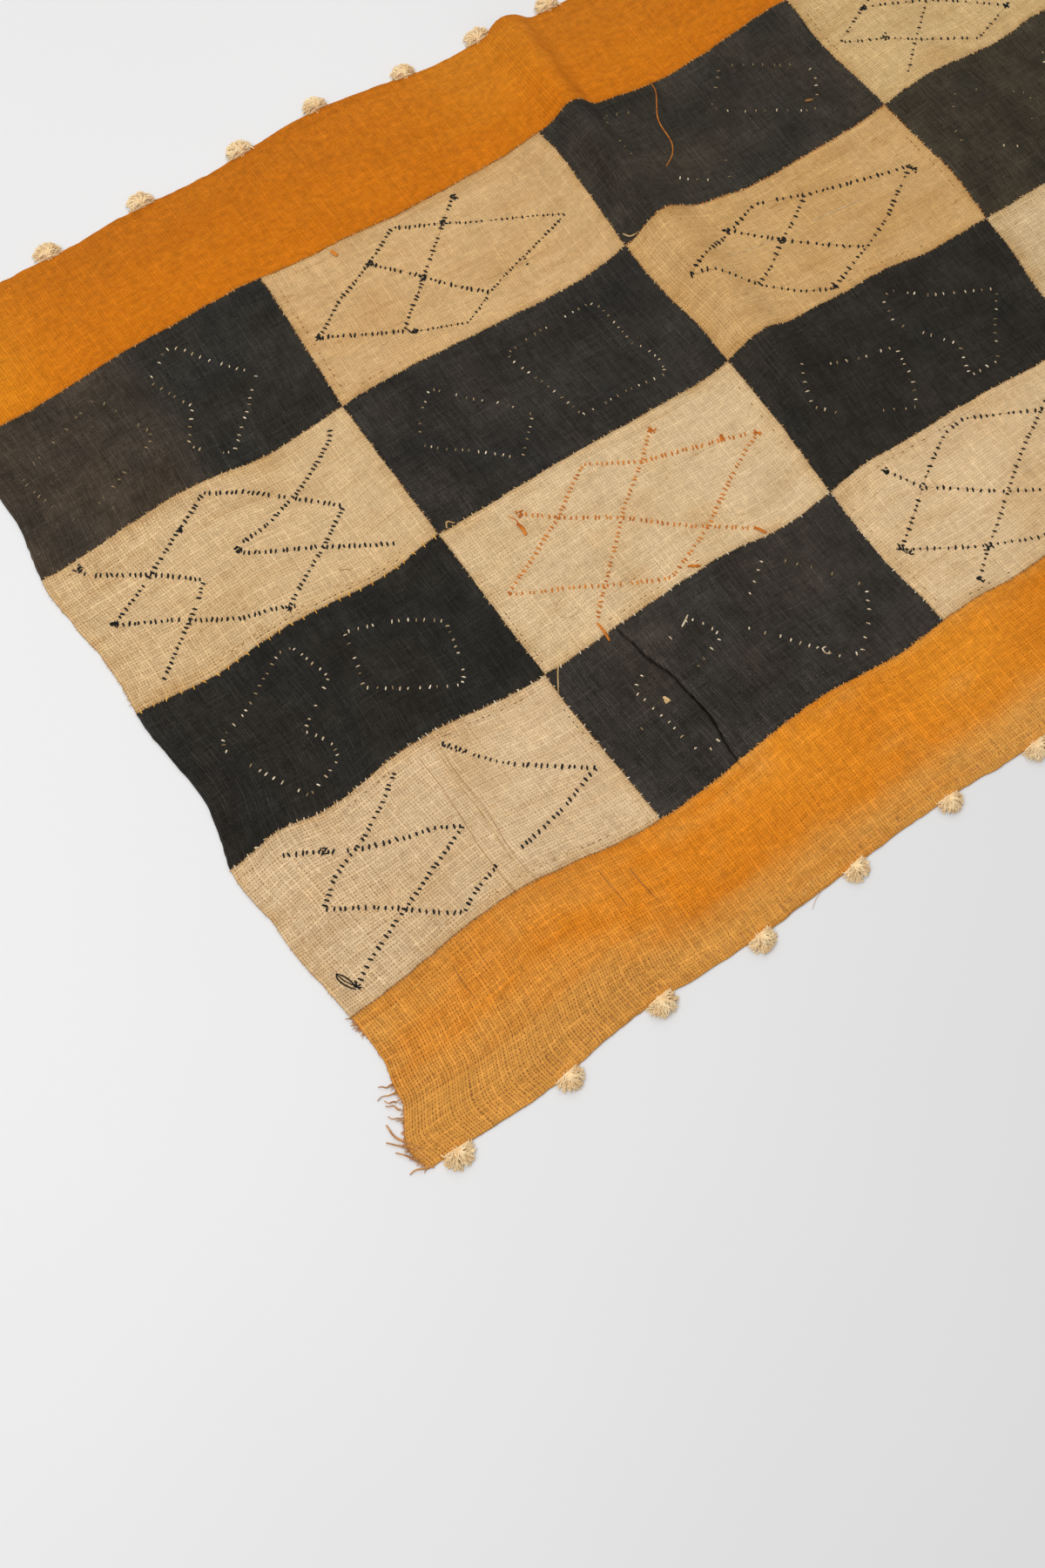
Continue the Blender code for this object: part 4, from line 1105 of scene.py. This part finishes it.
# The pale fleck of leaf in one black patch: a small pinched pad.
deselect()
bpy.ops.mesh.primitive_ico_sphere_add(subdivisions=3, radius=1)
speck = bpy.context.object
speck.name = speck.data.name = "paleFleck"
spot, sideways, upwards, out = (part[0] for part in clothFrame([cloth["patchLength"] + 57 * mm],
                                                               [-124 * mm - 61 * mm], 1.1 * mm))
for vertex in speck.data.vertices:
    x, y, z = vertex.co
    size = 1 + 0.25 * math.sin(3 * x + 2 * y) + 0.12 * math.sin(9 * y)
    vertex.co = Vector(spot + sideways * x * 2.0 * mm * size + upwards * y * 2.7 * mm * size + out * z * 0.55 * mm)
bpy.ops.object.shade_smooth_by_angle(angle=math.radians(80))
speck.data.materials.append(threadMaterials["natural"])
extras["c2_r4"].append(rideAs(speck))

# Fibres that stand out of the cut edges: from, to (even mm along and across), outward angle, how many, length in mm.
fibres = {
    "ochre": (
        ((0, -248), (0, -262), 180, 26, (2.0, 5.5)),
        ((0, -262), (0, -296), 180, 22, (0.8, 2.2)),
        ((0, -296), (0, -352), 180, 95, (1.2, 4.5)),
        ((0, 350), (0, 250), 180, 24, (0.6, 1.6)),
        ((1250, -350), (1250, -250), 0, 40, (0.8, 2.4)),
        ((1250, 250), (1250, 350), 0, 40, (0.8, 2.4)),
        ((0, -352), (1250, -352), 270, 130, (0.5, 1.5)),
        ((0, 352), (1250, 352), 90, 110, (0.5, 1.5)),
        ((0, -249), (500, -249), 90, 70, (0.8, 2.0)),
        ((0, 249), (500, 249), 270, 50, (0.8, 2.0)),
    ),
    "natural": (
        ((0, 124), (0, 0), 180, 46, (0.8, 2.6)),
        ((0, -124), (0, -248), 180, 50, (0.8, 2.4)),
        ((1, 20), (1, 5), 200, 6, (3.0, 6.0)),
        ((1250, 120), (1250, 2), 0, 40, (0.8, 2.4)),
        ((1250, -126), (1250, -246), 0, 40, (0.8, 2.4)),
        ((250, 124), (250, 0), 0, 22, (0.6, 1.8)),
        ((250, -124), (250, -248), 0, 22, (0.6, 1.8)),
        ((500, 0), (500, -124), 0, 22, (0.6, 1.8)),
    ),
    "black": (
        ((0, 248), (0, 124), 180, 34, (0.5, 1.4)),
        ((0, 0), (0, -124), 180, 40, (0.5, 1.6)),
        ((1250, 246), (1250, 126), 0, 34, (0.5, 1.4)),
        ((1250, -2), (1250, -122), 0, 34, (0.5, 1.4)),
    ),
}
for thread, groups in fibres.items():
    lines = []
    for start, end, angle, count, (short, long) in groups:
        for k in range(count):
            share = (k + draw.random()) / count
            along = (start[0] + (end[0] - start[0]) * share) * mm
            across = (start[1] + (end[1] - start[1]) * share) * mm
            turn = math.radians(angle) + draw.gauss(0, 0.35)
            length = draw.uniform(short, long) * mm
            bow = draw.uniform(-0.3, 0.3) * length
            run = np.array((math.cos(turn), math.sin(turn)))
            steps = [np.array((along, across)) + run * (length * s - 0.8 * mm)
                     + np.array((-run[1], run[0])) * bow * s * s for s in (0, 0.5, 1)]
            flat = np.array(steps)
            placed = layCloth(flat[:, 0], flat[:, 1], 0.5 * mm)
            placed[:, 2] += np.array((0.15, 0.3, 0.1)) * mm * draw.uniform(0.5, 2)
            lines.append(np.column_stack((placed, (1, 0.8, 0.35))))
    rideAs(drawThreads(f"fibres_{thread}", lines, 0.6 * mm, thread))

# The frayed corner of the lower band. Each strand: from and to, in mm as it lies from the band's even left end and
# down from its seam, then its bow and its width in mm.
frayed = (
    ((5, 52), (-2, 48), -1.0, 1.1),
    ((4, 58), (-7, 55), 1.0, 1.0),
    ((2, 62), (-4, 58), -0.8, 1.0),
    ((1, 67), (-5, 61), 1.0, 1.1),
    ((1, 73), (-7, 67), -1.5, 1.1),
    ((-1, 78), (-4, 72), 1.0, 1.0),
    ((-1, 93), (-11, 71), -3.0, 1.9),
    ((-2, 99), (-17, 80), 1.5, 1.6),
    ((-2, 102), (-15, 88), -1.0, 1.5),
    ((-1, 96), (-6, 90), 0.5, 1.0),
    ((-2, 108), (-15, 104), 1.2, 1.5),
    ((-3, 104), (-7, 99), -1.5, 0.9),
    ((325, 101), (298, 113), 1.5, 0.45),    # one that hangs out of the hem, by the fifth pompom
)
lines = []
for start, end, bow, width in frayed:
    run = np.array(end, float) - start
    aside = np.array((-run[1], run[0])) / np.hypot(*run)
    shares = np.linspace(-0.15, 1, 11)
    flat = np.array([np.array(start) + run * s + aside * (bow * math.sin(math.pi * max(s, 0))
                     + 0.4 * math.sin(9 * s + start[1])) for s in shares]) * mm
    along, across = evenPlace(flat[:, 0] - clothLength / 2, -patchworkEdge - flat[:, 1])
    placed = layCloth(along, across, 0)
    placed[:, 2] = mm * (1.1 + 0.9 * np.sin(np.pi * np.clip(shares, 0, 1)) - 0.45 * np.clip(shares, 0, 1))
    lines.append(np.column_stack((placed, width * np.linspace(1.1, 0.45, 11))))
fray = rideAs(drawThreads("frayedStrands", lines, 1.1 * mm, "ochre"))
print("threads and fibres are laid")

# Pompoms: half rosettes of raffia strips, tied over the hem.

pompom = {
    "reach": 13.2, "height": 6.6, "head": 2.0,    # mm
    "core": (8.8, 8.4, 4.2),      # half length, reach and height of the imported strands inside
    "strands": 132, "thick": 0.95, "points": 7,
    "curl": 1.0,                  # mm that a strand waves to each side
    "shapes": 4,
    "upper": (51, 129, 210, 297, 368, 443, 511, 578, 655, 733, 812, 889, 968, 1047, 1124, 1203),
    "lower": (17, 101, 178, 257, 339, 423, 498, 577, 655, 737, 814, 895, 973, 1052, 1133, 1214),
}


def pompomShape(number):    # a half rosette at the origin: its tied side lies on X, and it spreads towards +Y
    draw = random.Random(300 + number)
    lines = []
    for strand in range(pompom["strands"]):
        angle = math.pi * (strand + draw.random()) / pompom["strands"]
        angle = 0.06 + (math.pi - 0.12) * (draw.random() if draw.random() < 0.5 else angle / math.pi)
        tilt = draw.random() ** 1.25 * 1.15    # how steeply it leaves the head
        reach = pompom["reach"] * draw.uniform(0.78, 1.0) * (1 - 0.18 * math.sin(tilt))
        reach *= 0.86 + 0.2 * math.sin(angle)
        phase, waves = draw.uniform(0, 6.3), draw.uniform(1.6, 2.6)
        drift = draw.uniform(-0.25, 0.25)
        points = []
        for k in range(pompom["points"]):
            s = k / (pompom["points"] - 1)
            out = pompom["head"] * 0.4 + (reach - pompom["head"] * 0.4) * s * (math.cos(tilt) * (1 - s) + s) ** 0.5
            turn = angle + drift * s * s
            wave = pompom["curl"] * (0.35 + 0.65 * s) * math.sin(phase + waves * 6.3 * s)
            lift = pompom["height"] * math.sin(tilt) * math.sin(math.pi * (0.16 + 0.62 * s))
            z = 0.6 + lift * 0.95 + (1 - s) * 1.4 + 0.5 * math.cos(phase + waves * 6.3 * s) * s
            points.append(((out * math.cos(turn) - wave * math.sin(turn)) * mm,
                           (out * math.sin(turn) + wave * math.cos(turn)) * mm, max(z, 0.42) * mm,
                           draw.uniform(0.75, 1.15) * (0.6 if k == pompom["points"] - 1 else 1)))
        lines.append(points)
    strands = drawThreads(f"pompomShape{number}", lines, pompom["thick"] * mm, "pompom")
    deselect()
    bpy.ops.mesh.primitive_ico_sphere_add(subdivisions=3, radius=1)
    core = bpy.context.object
    for vertex in core.data.vertices:    # a lumpy half dome, flat underneath
        x, y, z = vertex.co
        lump = 1 + 0.10 * math.sin(9 * x + number) * math.sin(8 * y + 2) + 0.06 * math.sin(21 * x + 17 * y)
        vertex.co = (x * lump * pompom["core"][0] * mm, (max(y, -0.12) * lump) * pompom["core"][1] * mm,
                     (max(z, 0) * lump * pompom["core"][2] + 0.1) * mm)
    bpy.ops.object.shade_smooth_by_angle(angle=math.radians(80))
    core.data.materials.append(threadMaterials["pompom"])
    strands.select_set(True)
    bpy.context.view_layer.objects.active = strands
    bpy.ops.object.join()
    mesh = strands.data
    bpy.data.objects.remove(strands, do_unlink=True)
    return mesh


def edgeSpot(place, side):    # the outer edge at a place along the floor, and which way it faces
    along = place * mm
    for _ in range(4):
        x, y = seenFromAbove(np.array([along]), np.array([side * bandEdge]))
        along += place * mm - clothLength / 2 - x[0]
    x, y = seenFromAbove(np.array([along - 8 * mm, along, along + 8 * mm]), np.full(3, side * bandEdge))
    run = np.array((x[2] - x[0], y[2] - y[0]))
    run /= np.hypot(*run)
    return along, np.array((x[1], y[1])), np.array((-run[1], run[0])) * side


shapes = [pompomShape(number) for number in range(pompom["shapes"])]
ties = []
draw = random.Random(77)
for name, side in (("upper", 1), ("lower", -1)):
    for index, place in enumerate(pompom[name]):
        along, foot, outward = edgeSpot(place, side)
        mesh = shapes[(index * 3 + (side < 0)) % pompom["shapes"]].copy()
        obj = bpy.data.objects.new(f"pompomTuft_{name}_{index + 1:02d}", mesh)
        mesh.name = obj.name
        bpy.context.collection.objects.link(obj)
        co = np.array([vertex.co[:] for vertex in mesh.vertices])
        turn = math.atan2(outward[1], outward[0]) - math.pi / 2 + draw.uniform(-0.15, 0.15)
        size = draw.uniform(0.93, 1.06)
        x = foot[0] - outward[0] * 0.4 * mm + size * (co[:, 0] * math.cos(turn) - co[:, 1] * math.sin(turn))
        y = foot[1] - outward[1] * 0.4 * mm + size * (co[:, 0] * math.sin(turn) + co[:, 1] * math.cos(turn))
        lift = foldRise(folds["ridge"], x, y) if side > 0 else 0
        mesh.vertices.foreach_set("co", np.stack((x, y, co[:, 2] * size + lift), axis=1).ravel())
        mesh.update()
        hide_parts(f"pompom_{name}_{index + 1:02d}")
        rideAs(obj)
        # the tie: two turns of the same strip over the hem
        for shift in (-1.1, 0.9):
            reach = draw.uniform(2.4, 4.0)
            inward = np.array([(along + (shift + draw.uniform(-0.5, 0.5)) * mm, side * (bandEdge - d * mm))
                               for d in (-1.2, -0.3, 0.8, reach * 0.6, reach)])
            placed = layCloth(inward[:, 0], inward[:, 1], 0)
            placed[:, 2] += np.array((1.8, 1.9, 1.9, 1.95, 1.3)) * mm
            ties.append(np.column_stack((placed, (0.9, 1, 1, 0.9, 0.6))))
rideAs(drawThreads("pompomTies", ties, 0.8 * mm, "pompom"))
for mesh in shapes:
    bpy.data.meshes.remove(mesh)
print("the pompoms are tied on")

# The box of it all.

low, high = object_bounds()
